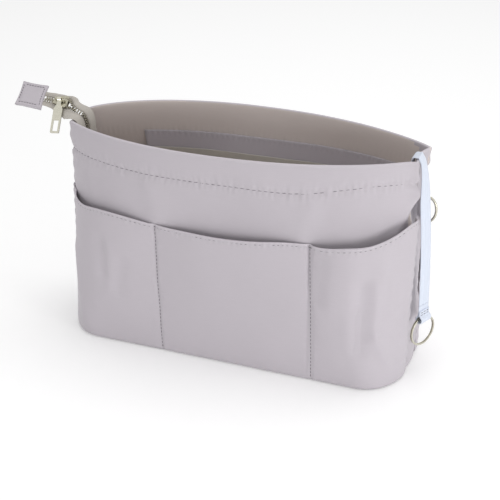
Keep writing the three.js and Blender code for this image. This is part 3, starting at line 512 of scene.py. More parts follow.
def stitches(name, rows, thick, body="bag"):
    """Rows of stitches: a row is a list of (place, outward direction) pairs where a stitch starts or ends."""
    bm = bmesh.new()
    for row in rows:
        for (start, out_start), (end, out_end) in zip(row[::2], row[1::2]):
            run = end - start
            out = (out_start + out_end).normalized()
            across = out.cross(run).normalized()
            out = run.cross(across).normalized()
            turn = Matrix((run.normalized(), across, out)).transposed().to_4x4()
            size = Matrix.Diagonal((run.length / 2 + thick * 0.2, thick / 2, thick / 2, 1))
            matrix = Matrix.Translation((start + end) / 2 * MM) @ turn @ size @ Matrix.Scale(MM, 4)
            bmesh.ops.create_uvsphere(bm, u_segments=6, v_segments=6, radius=1,
                                      matrix=matrix @ Matrix.Rotation(pi / 2, 4, "Y"))
    finish_piece(name, bm, body, [thread_finish], ())


def sewn_row(surface, start, end, pitch):
    """Stitch ends along a line on a cloth: surface(distance, lift) gives the point lift mm off the cloth."""
    stitch_share = 0.66
    raised = 0.1
    row = []
    for k in range(int((end - start) / pitch)):
        for half in (-stitch_share / 2, stitch_share / 2):
            distance = start + (k + 0.5 + half) * pitch
            on = surface(distance, raised)
            row.append((on, (surface(distance, raised + 1) - on).normalized()))
    return row


def collar_row(side):
    def surface(run, lift):
        along = along_of(run)
        z = collar_line(along)
        return wall_point(side, along, z, -wall_lift(side, along, z, run) - lift)
    return sewn_row(surface, 6, wall_run - 6, collar_stitch)


stitches("collar_stitches", [collar_row(side) for side, end in sides], collar_thread)

# End panels: narrow nylon gussets between the long walls, sewn to them at the side seams.
# They stand full at the base and crease inward at the rim.
lower_edge = 5
lower_tuck = 4
cloth_foot = 0.7
end_bulge = 2
end_crease = 12
seam_room = 0.4
end_cloth_width = 40


def tuck(z):
    """How far the cloth turns in under the bag's lower edge."""
    return lower_tuck * (1 - (1 - held((lower_edge - z) / lower_edge) ** 2) ** 0.5)


def end_fold(z):
    return mix(end_bulge, -end_crease * (1 - 0.75 * ease(near_rim(z))), opening(z))


def end_point(side, across, z, depth):
    x = half_length(z) - depth + end_fold(z) * (1 - abs(across) ** 1.3)
    y = across * (gusset_half - depth * 0.5 * opening(z) - seam_room) + sway(z) * side
    return Vector((side * x + across * skew(z, side), y, z))


def end_place(side, u, v):
    across = 2 * u - 1
    edge = gusset_half * (1 - abs(across))
    z, depth, face = round_the_edge(v, cloth_foot, body_height, wall_thick)
    if face > 0:
        soft = 0.8 * soft_noise(across * 1.3, z / 45, side * 3.0)
        swell = 2.6 * bump(z - 48, 30) * bump(across - 0.55, 0.35) if side > 0 else 0
        depth -= (seam_wave(z, 1.5) * bump(edge, 7) + soft + swell - 1.4 * bump(edge, 1.8)) * face
    depth += tuck(z)
    if side > 0:
        depth += corner_dent(-1, z, gusset_half * (1 + across))
    return (end_point(side, across, z, depth), u * end_cloth_width, up_the_cloth(v, z, body_height),
            0.4 * bump(edge, 3), bump(z - body_height, 1.2))


def inside_end(side, centre):
    across = max(-1, min(1, (centre.y - sway(centre.z) * side) / gusset_half))
    middle = end_point(side, across, centre.z, wall_thick * lining_share)
    return side * centre.x < side * middle.x and centre.z < body_height - lining_drop


for side, end in ((-1, "left"), (1, "right")):
    panel = cloth_layer(36, 150, end_place, side)
    lined_panel(end + "_end_cloth", panel, end + "_end_panel", inside_end, side)

# Base: a soft nylon bottom with a rolled lower edge, sewn to the walls all round, and the stiff
# board in its lining sleeve that keeps it flat inside.

# How much of the outline each long wall takes, where it and an end make one half
wall_share = 0.42


def plan_point(turn, depth, z):
    """A point on the base's outline: turn runs once round from the left seam along the front."""
    side = -1 if turn < 0.5 else 1
    turn -= 0 if side < 0 else 0.5
    if turn < wall_share:
        point = wall_point(side, mix(side, -side, turn / wall_share), 0, depth)
    else:
        point = end_point(-side, mix(side, -side, (turn - wall_share) / (0.5 - wall_share)), 0, depth)
    return point + Vector((0, 0, z))


def flat_pad(foot, top, inset, edge):
    """A flat closed pad on the base's outline with a rolled edge of that radius."""
    steps, rings = 260, 9
    bm = bmesh.new()
    weave = bm.loops.layers.uv.new("weave")
    bmesh.ops.create_circle(bm, cap_ends=False, segments=steps, radius=1)

    def shape(verts, depth, z):
        for k, vert in enumerate(verts):
            vert.co = plan_point((k + 0.5) / steps, inset + depth, z) * MM

    verts, edges = list(bm.verts), list(bm.edges)
    shape(verts, edge, foot)
    for k in range(1, rings + 1):
        made = bmesh.ops.extrude_edge_only(bm, edges=edges)["geom"]
        edges = [g for g in made if isinstance(g, bmesh.types.BMEdge)]
        fresh = {g for g in made if isinstance(g, bmesh.types.BMVert)}
        verts = [next(e.other_vert(v) for e in v.link_edges if e.other_vert(v) in fresh) for v in verts]
        turn = mix(-pi / 2, pi / 2, k / rings)
        half = (top - foot) / 2
        shape(verts, edge - edge * cos(turn), foot + half + half * sin(turn))
    bmesh.ops.contextual_create(bm, geom=edges)
    bmesh.ops.holes_fill(bm, edges=[e for e in bm.edges if e.is_boundary], sides=0)
    for big in [f for f in bm.faces if len(f.verts) > 4]:
        bmesh.ops.triangulate(bm, faces=[big])
    bmesh.ops.recalc_face_normals(bm, faces=bm.faces)
    for face in bm.faces:
        for corner in face.loops:
            corner[weave].uv = (corner.vert.co.x, corner.vert.co.y)
    return bm


finish_piece("base_cloth", flat_pad(0, 4.3, 3, 1.5), "bag", [nylon], ["base_panel"])
finish_piece("base_board_sleeve", flat_pad(4.4, 7.4, 4, 1.3), "bag", [lining], ["base_board"])

# Outer pockets: one nylon panel on each long wall, hemmed at the top and sewn down at two
# dividers and into the side seams, so it makes three slip pockets.
pocket_height = 138.5
pocket_thick = 1.6
pocket_room = 0.4
back_tilt = 3.5
back_end_rise = 14
left_stand = 8
middle_stand = 8.5
right_stand = 13
back_stand = 11
hem_drop = 3.2
hem_stitch = 4.2
divider_stitch = 4
pocket_thread = 0.7
fold_strength = 1.7
# Each divider's place along the wall at its foot and at its top
dividers = [(-0.234, -0.249), (0.356, 0.337)]
left_end, right_start = dividers[0][1], dividers[1][1]
# The front top edge: places along the wall and shares of the pocket's height
front_top = [(-1, 1.076), (-0.86, 1.069), (-0.72, 1.047), (-0.6, 1.037), (-0.5, 1.052), (-0.41, 1.053),
             (-0.33, 1.038), (left_end, 1.014), (-0.1, 1.013), (0, 1.013), (0.11, 1.022), (0.24, 1.042),
             (right_start, 1.038), (0.37, 1.041), (0.455, 1.061), (0.546, 1.071), (0.6, 1.09), (0.657, 1.116),
             (0.704, 1.139), (0.745, 1.158), (0.8, 1.177), (0.9, 1.177), (1, 1.17)]


def profile(table, along):
    """A smooth line through the places of a table."""
    last = len(table) - 1
    k = 1
    while k < last and along > table[k][0]:
        k += 1

    def slope(i):
        (before, low), (after, high) = table[max(0, i - 1)], table[min(last, i + 1)]
        return (high - low) / (after - before)

    (start, low), (end, high) = table[k - 1], table[k]
    t = (along - start) / (end - start)
    bend = t * (1 - t) * ((1 - t) * slope(k - 1) - t * slope(k))
    return mix(low, high, ease(t)) + (end - start) * bend


def lobe(along, start, end):
    share = (along - start) / (end - start)
    return 0 if share <= 0 or share >= 1 else sin(pi * share) ** 0.8


def pocket_top(side, along):
    if side < 0:
        return pocket_height * profile(front_top, along)
    lengthwise = sin(along * pi / 2)
    return pocket_height + back_tilt * lengthwise + back_end_rise * lengthwise ** 2


def pocket_stand(side, along):
    """How far the top edge stands off the wall, in a lobe between each two seams."""
    middle = lobe(along, left_end, right_start)
    if side < 0:
        right = max(0, (along - right_start) / (1 - right_start))
        return (left_stand * lobe(along, -0.8, left_end) + middle_stand * middle
                + right_stand * lobe(right ** 0.6, 0, 1))
    return back_stand * (lobe(along, -0.95, left_end) + middle + lobe(along, right_start, 0.95))


def divider_at(divider, z):
    return mix(divider[0], divider[1], z / 140)


front_folds = [
    (283, 132, 282, 90, 7, -1.3),
    (304, 146, 311, 98, 12, 1.0),
    (318, 108, 322, 44, 8, -1.5),
    (329, 112, 334, 60, 5, 1.3),
    (334, 60, 351, 30, 6, 1.1),
    (335, 128, 351, 83, 9, 0.9),
    (346, 112, 362, 60, 7, -0.8),
    (300, 70, 312, 34, 8, -0.5),
    (70, 112, 71, 80, 8, -1.0),
    (91, 94, 86, 60, 8, -0.9),
    (80, 112, 79, 62, 6, 0.6),
    (28, 90, 43, 20, 9, 0.9),
    (150, 20, 168, 70, 15, 0.5),
    (236, 20, 262, 80, 15, 0.5),
]


def pocket_lift(side, along, z, run):
    """How far the pocket's cloth stands off its plain shape: its hem, dividers, side seams and folds."""
    hem = pocket_top(side, along) - hem_drop
    lift = 0.3 * ease((z - hem) / 1.2) - 0.55 * bump(z - hem, 1.1)
    lift += 0.3 * soft_noise(run / 2.6, z / 9, side * 5.0) * bump(z - hem, 3)
    for divider in dividers:
        gap = run - run_of(divider_at(divider, z))
        lift -= 1.1 * bump(gap, 1.7)
        lift += 0.5 * soft_noise(side * 2.0, gap / 6, z / 4.5) * bump(abs(gap) - 3.5, 4)
    edge = to_seam(run)
    lift += 1.2 * seam_wave(z, 0.8) * bump(edge, 8) - 1.0 * bump(edge, 2)
    lift += fold_strength * fold_lift(front_folds, run, z) if side < 0 else 0
    lift += 1.1 * soft_noise(run / 38, z / 55, 11 + side * 3.0) * ease((z - 4) / 30)
    return lift


def pocket_depth(side, along, z):
    row = held((z - wall_foot) / (pocket_top(side, along) - wall_foot))
    return tuck(z) - pocket_room - pocket_stand(side, along) * row ** 0.7


def pocket_place(side, u, v):
    run = u * wall_run
    along = along_of(run)
    top = pocket_top(side, along)
    z, depth, face = round_the_edge(v, cloth_foot, top, pocket_thick)
    lift = pocket_lift(side, along, z, run)
    lift = lift * face if face > 0 else max(0, lift) * 0.5 + min(0, lift) * 0.2
    away = pocket_depth(side, along, z) - pocket_thick + depth - lift
    drawn = bump(z - top + hem_drop, 3)
    for divider in dividers:
        drawn = max(drawn, 0.5 * bump(run - run_of(divider_at(divider, z)), 3))
    return wall_point(side, along, z, away), run, up_the_cloth(v, z, top), drawn, bump(z - top, 1)


for side, end in sides:
    panel = finish_piece(end + "_pocket_cloth", cloth_layer(270, 150, pocket_place, side), "bag", [nylon],
                         [end + "_pocket_panel"])
    cut_heights = [pocket_top(side, along_of(wall_run * k / 60)) for k in range(61)]


def on_pocket(side, along, z, run, lift):
    """A point lift mm off the pocket's face."""
    away = pocket_depth(side, along, z) - pocket_thick - pocket_lift(side, along, z, run)
    return wall_point(side, along, z, away - lift)


def hem_row(side):
    def surface(run, lift):
        along = along_of(run)
        return on_pocket(side, along, pocket_top(side, along) - hem_drop, run, lift)
    return sewn_row(surface, 4, wall_run - 4, hem_stitch)


def divider_row(side, divider):
    def surface(z, lift):
        along = divider_at(divider, z)
        return on_pocket(side, along, z, run_of(along), lift)
    return sewn_row(surface, 4, pocket_top(side, divider[1]) - 2, divider_stitch)


pocket_rows = [row for side, end in sides
               for row in [hem_row(side)] + [divider_row(side, divider) for divider in dividers]]
stitches("pocket_stitches", pocket_rows, pocket_thread)

# Inner pockets: lighter lining panels on each long wall, hemmed at the top and sewn down at the
# middle, so each makes two slip pockets.
inner_foot = 7.8
inner_top = 118
inner_thick = 1.2
inner_stand = 9
inner_ends = (-0.718, 0.751)
inner_divider = 0.044
inner_hem_drop = 4
inner_room = 0.4
inner_stitch = 3.6
inner_thread = 0.42
inner_first, inner_last = run_of(inner_ends[0]), run_of(inner_ends[1])
inner_middle = run_of(inner_divider)


def inner_depth(along, z):
    row = held((z - inner_foot) / (inner_top - inner_foot))
    lobes = lobe(along, inner_ends[0], inner_divider) + lobe(along, inner_divider, inner_ends[1])
    return wall_thick + inner_room + inner_stand * lobes * row ** 0.7


def inner_place(side, u, v):
    run = mix(inner_first, inner_last, u)
    along = along_of(run)
    z, depth, face = round_the_edge(v, inner_foot, inner_top, inner_thick)
    hem, gap = z - inner_top + inner_hem_drop, run - inner_middle
    lift = 0.5 * soft_noise(run / 40, z / 40, 31 + side * 5.0)
    lift -= 0.3 * bump(hem, 0.9) + 0.5 * bump(gap, 1.5)
    into = inner_depth(along, z) + inner_thick - depth + (lift * face if face > 0 else 0)
    return (wall_point(side, along, z, into), run, up_the_cloth(v, z, inner_top),
            max(bump(hem, 3), 0.5 * bump(gap, 3)), bump(z - inner_top, 1))


def inner_rows(side):
    """The hem's row and the divider's row."""
    def on_panel(run, z, lift):
        along = along_of(run)
        return wall_point(side, along, z, inner_depth(along, z) + inner_thick - 0.1 + lift)

    return [sewn_row(lambda run, lift: on_panel(run, inner_top - inner_hem_drop, lift),
                     inner_first + 3, inner_last - 3, inner_stitch),
            sewn_row(lambda z, lift: on_panel(inner_middle, z, lift),
                     inner_foot + 4, inner_top - 2, inner_stitch)]


for side, end in sides:
    panel = finish_piece(end + "_inner_cloth", cloth_layer(150, 90, inner_place, side), "bag", [lining],
                         [end + "_inner_pocket"])
stitches("inner_pocket_stitches", [row for side, end in sides for row in inner_rows(side)], inner_thread)

# Zip flaps and tapes: nylon strips sewn inside the topstitching hang down while the zip is open.
# Each woven tape runs along its flap, dives round the left end and comes out over the rim, where
# the two close into a tail.
flap_top = 188
flap_drop = 24
flap_lean = 3
flap_room = 0.4
flap_ends = (-0.5306, 0.6685)
flap_thick = 1.2
tape_width = 9
tape_tab_width = 5.2
tape_thick = 0.7
tape_lap = 6
tape_colour = srgb(200, 194, 185)
tape_top = flap_top - flap_drop + tape_lap
# Each tape's width where it crosses the rim, and its slope at the slider and at the rim
rim_widths = {-1: 12.6, 1: 15}
tape_slopes = {-1: (radians(14), radians(3)), 1: (radians(48), radians(6))}
tail_drift = 9
tail_droop = 5
tail_relax = radians(32)
tail_matrix = (Matrix.Translation((-190, -7, 224.5)) @ Matrix.Rotation(radians(4), 4, "Y")
               @ Matrix.Rotation(radians(36), 4, "X"))
# Places along the tail from the slider's middle, and half the gap between the teeth there
slider_rear = -7.5
slider_front = 7.5
fork_start = 0.05
fork_half_gap = 1.8
mouth_half_gap = 2.5
closed_half_gap = 0.2
tail_root = 24
tab_mouth = slider_rear - 10.5
tail_tape_end = tab_mouth - 12
chain_half = 2.75
# The dive: how high its waist lies, how clear of the end it stays and how it leaves and arrives
waist_share = 0.42
dive_clearance = 2.9
flap_arrival = -0.4367
dive_pieces = 60
flap_first, flap_last = run_of(flap_ends[0]), run_of(flap_ends[1])


def flap_depth(z):
    return wall_thick + flap_room + flap_lean * (flap_top - z) / flap_drop


def flap_place(side, u, v):
    run = mix(flap_first, flap_last, u)
    z, depth, face = round_the_edge(v, flap_top - flap_drop, flap_top, flap_thick)
    wave = 0.5 * sin(run / 21) * (flap_top - z) / flap_drop
    return (wall_point(side, along_of(run), z, flap_depth(z) + flap_thick - depth + wave), run, z,
            bump(z - flap_top + 2, 3), 0)


for side, end in sides:
    flap = finish_piece(end + "_flap_cloth", cloth_layer(120, 46, flap_place, side), "bag", [nylon],
                        [end + "_zip_flap"])


def half_gap(x):
    """Half the gap between the two rows of teeth, at a place along the tail."""
    if x <= slider_rear:
        return 0
    if x <= fork_start:
        return fork_half_gap * ease((x - slider_rear) / (fork_start - slider_rear))
    if x <= slider_front:
        return mix(fork_half_gap, mouth_half_gap, ease((x - fork_start) / (slider_front - fork_start)))
    return mix(mouth_half_gap, closed_half_gap, ease((x - 10) / 4.5))


def tail_point(x, y, z=0):
    """A point in the tail, which drifts to the front and sinks onto the rim past the slider."""
    past = tail_root - slider_front
    share = max(0, (x - slider_front) / past)
    turn = -tail_relax * ease(share)
    height = y * sin(turn) + z * cos(turn) - tail_droop * share * share
    drift = Vector((0, tail_drift * ease((x - slider_front + 3) / past), 0))
    return tail_matrix @ Vector((x, y * cos(turn) - z * sin(turn), height)) - drift


def tail_pair(side, x):
    """Outer and inner edge of the tape in the tail, and how far its outer edge droops."""
    edge = half_gap(x) + chain_half
    width = mix(tape_tab_width, rim_widths[side], ease((x - tab_mouth) / (tail_root - tab_mouth)))
    level = ease((x - slider_front) / (tail_root - slider_front))
    slope = mix(*tape_slopes[side], level) * ease((x - tab_mouth - 5) / 17)
    droop = width * sin(slope)
    return [tail_point(x, side * (edge + width * cos(slope)), -droop), tail_point(x, side * edge), droop]


def tape_depth(z):
    return flap_depth(z) + flap_thick + flap_room + tape_thick / 2


def wall_pair(side, along):
    return [wall_point(side, along, z, tape_depth(z)) for z in (tape_top, tape_top - tape_width)]


def bezier(p0, p1, p2, p3, t):
    return p0 * (1 - t) ** 3 + p1 * 3 * t * (1 - t) ** 2 + p2 * 3 * t * t * (1 - t) + p3 * t ** 3


def dive_point(side, edge, t):
    """A point of the tape's edge on its way over the rim, down inside the end and round to the wall."""
    start, finish = tail_pair(side, tail_root)[edge], wall_pair(side, flap_ends[0])[edge]
    drop = start.z - finish.z
    waist_z = mix(start.z, finish.z, waist_share)
    waist = Vector((end_point(-1, 0, waist_z, wall_thick).x + dive_clearance, start.y, waist_z))
    if t < 0.5:
        leave = (start - tail_pair(side, tail_root - 2.7)[edge]).normalized()
        return bezier(start, start + leave * drop * 0.1, waist + Vector((0, 0, drop * 0.22)), waist, 2 * t)
    arrive = (wall_pair(side, flap_arrival)[edge] - finish).normalized()
    return bezier(waist, waist - Vector((0, 0, drop * 0.35)), finish - arrive * drop * 0.62, finish,
                  2 * t - 1)


def tape_stations(side):
    """Outer and inner edge and droop of the tape, from the end tab to the right end of the flap."""
    tail = [tail_pair(side, x) for x in np.linspace(tail_tape_end, tail_root, 80)]
    dive = [[dive_point(side, 0, share), dive_point(side, 1, share), tail[-1][2] * (1 - share)]
            for share in (k / dive_pieces for k in range(1, dive_pieces))]
    run = [wall_pair(side, along_of(r)) + [0] for r in np.linspace(flap_first, flap_last, 180)]
    return tail + dive + run


tapes = {}
for side, end in sides:
    stations = tape_stations(side)
    places = np.array([[list(outer), list(inner)] for outer, inner, droop in stations])
    tapes[side] = (run_lengths(places[:, 1]), places, [droop for outer, inner, droop in stations])


def tape_at(side, distance):
    """The tape's outer and inner edges and its run, inward and upward directions, from its tail end."""
    lengths, places, droops = tapes[side]

    def edge_at(edge, where):
        return Vector([float(np.interp(where, lengths, places[:, edge, axis])) for axis in range(3)])

    outer, inner = edge_at(0, distance), edge_at(1, distance)
    run = (edge_at(1, distance + 1.5) - edge_at(1, distance - 1.5)).normalized()
    inward = inner - outer
    inward = (inward - run * inward.dot(run)).normalized()
    return outer, inner, run, inward, run.cross(inward) * -side


tape_weave = bpy.data.materials.new("zip_tape_weave")
nodes = Nodes(tape_weave)
weave = nodes.add("UVMap", uv_map="weave")
slant = nodes.add("Mapping", Rotation=(0, 0, radians(45)), Vector=weave)
high = nodes.summed(nodes.bands("Y", 1.15, 0.2, weave), 0.6, nodes.bands("X", 0.75, 0.4, slant), 0.4)
spots = nodes.add("TexNoise", Scale=120.0, Detail=3.0, Vector=nodes.place()).outputs["Fac"]
# Painted shade: the tape is darker in the hollows of its weave, and in random spots
tone = nodes.mixed(nodes.summed(high, 0.7, spots, 0.4), toned(tape_colour, 0.66), tape_colour)
# Painted shade of the teeth: dark bands like cords on the tape's edge beside them, where the vertex attribute
# marks that strip
teeth_shade_strip = nodes.add("Attribute", attribute_name="edge_tone").outputs["Fac"]
painted_teeth_shade = nodes.times(teeth_shade_strip, nodes.bands("Y", 1.7, 0.3, weave))
nodes.surface(Base_Color=nodes.mixed(painted_teeth_shade, tone, (0.42, 0.4, 0.38, 1), "MULTIPLY"), Roughness=0.82,
              Sheen_Weight=0.25, Normal=nodes.raised(high, 0.8, 0.25))


def band_section(v, thick, edge_share=0.08):
    """The share of a band's width and the lift off its middle, round the band's section."""
    share, offset, face = round_the_edge(v, 0, 1, edge_share)
    return share, (0.5 - offset / edge_share) * thick


def tape_place(side, u, v):
    lengths, places, droops = tapes[side]
    distance = u * lengths[-1]
    outer, inner, run, inward, up = tape_at(side, distance)
    share, lift = band_section(v, tape_thick, 0.05)
    from_teeth = (1 - share) * (inner - outer).length
    lift += float(np.interp(distance, lengths, droops)) * share * (1 - share)
    return outer + (inner - outer) * share + up * lift, distance, from_teeth, 0, bump(from_teeth, 2.6)


for side, end in sides:
    finish_piece(end + "_tape_cloth", cloth_layer(330, 26, tape_place, side), "bag", [tape_weave],
                 [end + "_zip_tape"])

# Zip teeth: small nickel teeth clamped on each tape's inner bead, meshed in the tail and apart
# beyond the slider, with a crimped stop at the end of each row.
tooth_pitch = 2.6
tooth_size = (1.5, 2.7, 2.0, 1)
tooth_reach = 1.6
tooth_bevel = 0.28
first_tooth = 12.6
last_tooth_room = 6


def cast_metal(name, dark, pale, smooth, rough):
    """Plated metal with fine marks in its tint and gloss."""
    material = bpy.data.materials.new(name)
    nodes = Nodes(material)
    marks = nodes.add("TexNoise", Scale=500.0, Detail=4.0, Roughness=0.6, Vector=nodes.place()).outputs["Fac"]
    gloss = nodes.add("MapRange", To_Min=smooth, To_Max=rough, Value=marks)
    nodes.surface(Base_Color=nodes.mixed(marks, dark, pale), Metallic=1.0, Roughness=gloss,
                  Normal=nodes.raised(marks, 0.12, 0.05))
    return material


nickel = cast_metal("brushed_nickel", srgb(184, 181, 166), srgb(216, 213, 200), 0.16, 0.34)
dull_nickel = cast_metal("dull_nickel", srgb(150, 146, 128), srgb(190, 186, 170), 0.2, 0.38)
tooth_metal = cast_metal("tooth_nickel", srgb(126, 121, 108), srgb(158, 153, 140), 0.34, 0.5)


def tooth_row(side):
    bm = bmesh.new()
    distance = first_tooth + (0 if side < 0 else tooth_pitch / 2)
    while distance < tapes[side][0][-1] - last_tooth_room:
        outer, inner, run, inward, up = tape_at(side, distance)
        turn = Matrix((run, inward, run.cross(inward))).transposed().to_4x4()
        matrix = Matrix.Translation((inner + inward * tooth_reach) * MM) @ turn @ Matrix.Scale(MM, 4)
        verts = bmesh.ops.create_cube(bm, size=1, matrix=matrix @ Matrix.Diagonal(tooth_size))["verts"]
        edges = list({e for v in verts for e in v.link_edges})
        bmesh.ops.bevel(bm, geom=edges, offset=tooth_bevel * MM, segments=1, profile=0.5, affect="EDGES",
                        material=-1)
        distance += tooth_pitch
    return bm


for side, end in sides:
    finish_piece(end + "_teeth_row", tooth_row(side), "bag", [tooth_metal], [end + "_zip_teeth"],
                 smooth=False)


def metal_node(node, width, segments=2, metal=nickel):
    """Gives a rigid node its metal and takes its sharp edges off."""
    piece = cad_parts[node]
    piece.data.materials.clear()
    piece.data.materials.append(metal)
    weld = piece.modifiers.new("weld", "WELD")
    weld.merge_threshold = 0.00001
    bevel = piece.modifiers.new("bevel", "BEVEL")
    bevel.width = width * MM
    bevel.segments = segments
    bevel.limit_method = "ANGLE"
    bevel.angle_limit = radians(35)


metal_node("front_zip_stop", 0.3)
metal_node("back_zip_stop", 0.3)

# End tab: a square of nylon folded round the closed tapes' ends and topstitched round its
# border. It sits a little askew on the tail.
tab_length = 27
tab_width = 25.5
tab_layer = 1.1
tab_inner = tape_thick / 2 + 0.35
tab_draw = 0.8
tab_stitch = 2.9
tab_thread = 0.62
# How far the border's stitching lies in from the ends and from the sides
tab_margins = (2.4, 2.6)
# Corners in the tail's plane, near edge first
tab_corners = [Vector((-46.3, -13)), Vector((-16.8, -13)), Vector((-48.7, 14)), Vector((-20, 14.5))]


def tab_spot(ahead, across, height):
    """A point of the tab from shares -1 to 1 along and across it."""
    ahead -= tab_draw * 2 / tab_length * ahead * (1 - across ** 2)
    across -= tab_draw * 2 / tab_width * across * (1 - ahead ** 2)
    near = tab_corners[0].lerp(tab_corners[1], (1 + ahead) / 2)
    far = tab_corners[2].lerp(tab_corners[3], (1 + ahead) / 2)
    flat = near.lerp(far, (1 + across) / 2)
    return tail_matrix @ Vector((flat.x, flat.y, height))


def tab_half(ahead, across):
    """Half the tab's thickness: full in the middle and drawn in at the border stitching."""
    edge = min((1 - abs(ahead)) * tab_length / 2, (1 - abs(across)) * tab_width / 2)
    plump = 0.5 * ease(edge / 8) - 0.4 * bump(edge - 3, 0.8)
    return tab_inner + tab_layer + plump


def tab_place(u, v):
    edge_share = 0.12
    share, offset, face = round_the_edge(v, 0, 1, edge_share)
    ahead, across = 2 * share - 1, 2 * u - 1
    half = tab_half(ahead, across)
    z = half * face if face in (1, -1) else half * (1 - 2 * offset / edge_share)
    return (tab_spot(ahead, across, z), across * tab_width / 2, ahead * tab_length / 2,
            bump((1 - abs(across)) * tab_width / 2 - 3, 2), 0)


finish_piece("end_tab_cloth", cloth_layer(44, 90, tab_place), "bag", [nylon], ["zip_end_tab"])


def tab_border(level):
    """The border's four rows on the tab's upper (level 1) or lower (level -1) face."""
    reach_x, reach_y = 1 - 2 * tab_margins[0] / tab_length, 1 - 2 * tab_margins[1] / tab_width
    corners = [(-reach_x, -reach_y), (reach_x, -reach_y), (reach_x, reach_y), (-reach_x, reach_y)]
    rows = []
    for start, end in zip(corners, corners[1:] + corners[:1]):
        length = (tab_spot(*end, 0) - tab_spot(*start, 0)).length

        def surface(distance, lift, start=start, end=end, length=length):
            ahead, across = (mix(a, b, distance / length) for a, b in zip(start, end))
            return tab_spot(ahead, across, level * (tab_half(ahead, across) + lift))
        rows.append(sewn_row(surface, 0.5, length - 0.5, tab_stitch))
    return rows


stitches("end_tab_stitches", tab_border(1) + tab_border(-1), tab_thread)

# Slider, bridge and pull: cast nickel slider on the teeth, a wire bridge on its top and a flat
# windowed pull that swings on it.
metal_node("zip_slider", 0.35, 3, dull_nickel)
metal_node("slider_bridge", 0.1, 2, dull_nickel)
metal_node("zip_pull", 0.3, 3)

# Key strap: ribbed webbing sewn inside the right end, over the rim and down outside, with its
# end folded back round the split ring and sewn.
strap_width = 15
strap_thick = 1.2
strap_across = 1
strap_end_across = -8
crest_x = end_point(1, 0, body_height, 0).x - 0.3
crest_z = 217.4
anchor_foot = 186
anchor_bend_share = 0.14
anchor_room = 0.4
strap_foot = 72
strap_turn = radians(24)
strap_turn_share = 0.35
strap_hang = 11.5
strap_colour = srgb(220, 227, 241)


def between(first, last, start, end, at):
    return first * (end - at) / (end - start) + last * (at - start) / (end - start)


def smooth_path(points, steps):
    """Centripetal curve through the points, resampled evenly, and its length."""
    pts = [Vector(p) for p in points]
    pts = [pts[0] * 2 - pts[1]] + pts + [pts[-1] * 2 - pts[-2]]
    fine = []
    for k in range(1, len(pts) - 2):
        p0, p1, p2, p3 = pts[k - 1:k + 3]
        t = [0.0]
        for a, b in ((p0, p1), (p1, p2), (p2, p3)):
            t.append(t[-1] + max(1e-6, (b - a).length ** 0.5))
        for j in range(24):
            s = mix(t[1], t[2], j / 24)
            a1, a2, a3 = (between(p0, p1, t[0], t[1], s), between(p1, p2, t[1], t[2], s),
                          between(p2, p3, t[2], t[3], s))
            b1, b2 = between(a1, a2, t[0], t[2], s), between(a2, a3, t[1], t[3], s)
            fine.append(between(b1, b2, t[1], t[2], s))
    fine.append(pts[-2])
    places = np.array([list(p) for p in fine])
    lengths = run_lengths(places)
    even = np.linspace(0, lengths[-1], steps)
    return np.stack([np.interp(even, lengths, places[:, axis]) for axis in range(3)], axis=1), lengths[-1]


def line_at(line, share):
    """The place and direction at a share of an evenly stepped line."""
    where = share * (len(line) - 1)
    k = min(len(line) - 2, max(0, int(where)))
    j = max(1, k)
    run = (Vector(line[j + 1]) - Vector(line[j - 1])).normalized()
    return Vector(line[k]).lerp(Vector(line[k + 1]), where - k), run


# Shares of the strap's drop, and of its way out from the wall, below the rim
strap_fall = [(0.006, -0.08), (0.03, 0.1), (0.12, 0.3), (0.34, 0.5), (0.5, 0.68), (0.8, 0.92), (1, 1)]
widest_half = half_length(0)
strap_points = [(crest_x + 0.4, strap_across, crest_z), (crest_x + 2.5, strap_across, crest_z)]
for down, outward in strap_fall:
    z = mix(crest_z, strap_foot, down)
    strap_points.append((mix(half_length(z), widest_half, ease(outward)) + strap_hang * outward,
                         mix(strap_across, strap_end_across, ease(down)), z))


def anchor_x(z):
    return end_point(1, 0, z, wall_thick).x - anchor_room - strap_thick


anchor_bend = mix(crest_z, anchor_foot, anchor_bend_share)
anchor_points = [(anchor_x(anchor_foot), strap_across, anchor_foot),
                 (anchor_x(anchor_bend), strap_across, anchor_bend),
                 (mix(anchor_x(body_height), crest_x, anchor_bend_share), strap_across,
                  crest_z - strap_thick),
                 (crest_x - 2.5, strap_across, crest_z), (crest_x, strap_across, crest_z)]
strap_line, strap_run = smooth_path(anchor_points + strap_points, 240)
anchor_run = smooth_path(anchor_points, 200)[1]

webbing = bpy.data.materials.new("ribbed_webbing")
nodes = Nodes(webbing)
weave = nodes.add("UVMap", uv_map="weave")
height = nodes.summed(nodes.bands("Y", 1.1, 0.1, weave), 0.55, nodes.bands("X", 0.9, 0.5, weave), 0.45)
# Painted shade: the webbing is darker in the hollows between its ribs
nodes.surface(Base_Color=nodes.mixed(height, toned(strap_colour, 0.8), strap_colour), Roughness=0.75,
              Sheen_Weight=0.25, Normal=nodes.raised(height, 0.7, 0.2))


def webbing_rib(across):
    """The height of the webbing's lengthwise ribs."""
    return 0.16 * cos(2 * pi * across / (strap_width / 3.5)) * ease((strap_width / 2 - abs(across)) / 1.5)


def strap_place(u, v):
    share, lift = band_section(v, strap_thick)
    across = (share - 0.5) * strap_width
    lift += webbing_rib(across) * (1 if lift > 0 else -1)
    distance = u * strap_run
    centre, run = line_at(strap_line, distance / strap_run)
    turn = -strap_turn * ease((distance - anchor_run) / (strap_run - anchor_run) / strap_turn_share)
    width = Vector((-sin(turn), cos(turn), 0))
    return centre + width * across + width.cross(run).normalized() * lift, distance, across, 0, 0


strap = finish_piece("key_strap_webbing", cloth_layer(200, 50, strap_place), None, [webbing],
                     ["key_strap", "key_strap_anchor"])
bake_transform(strap)

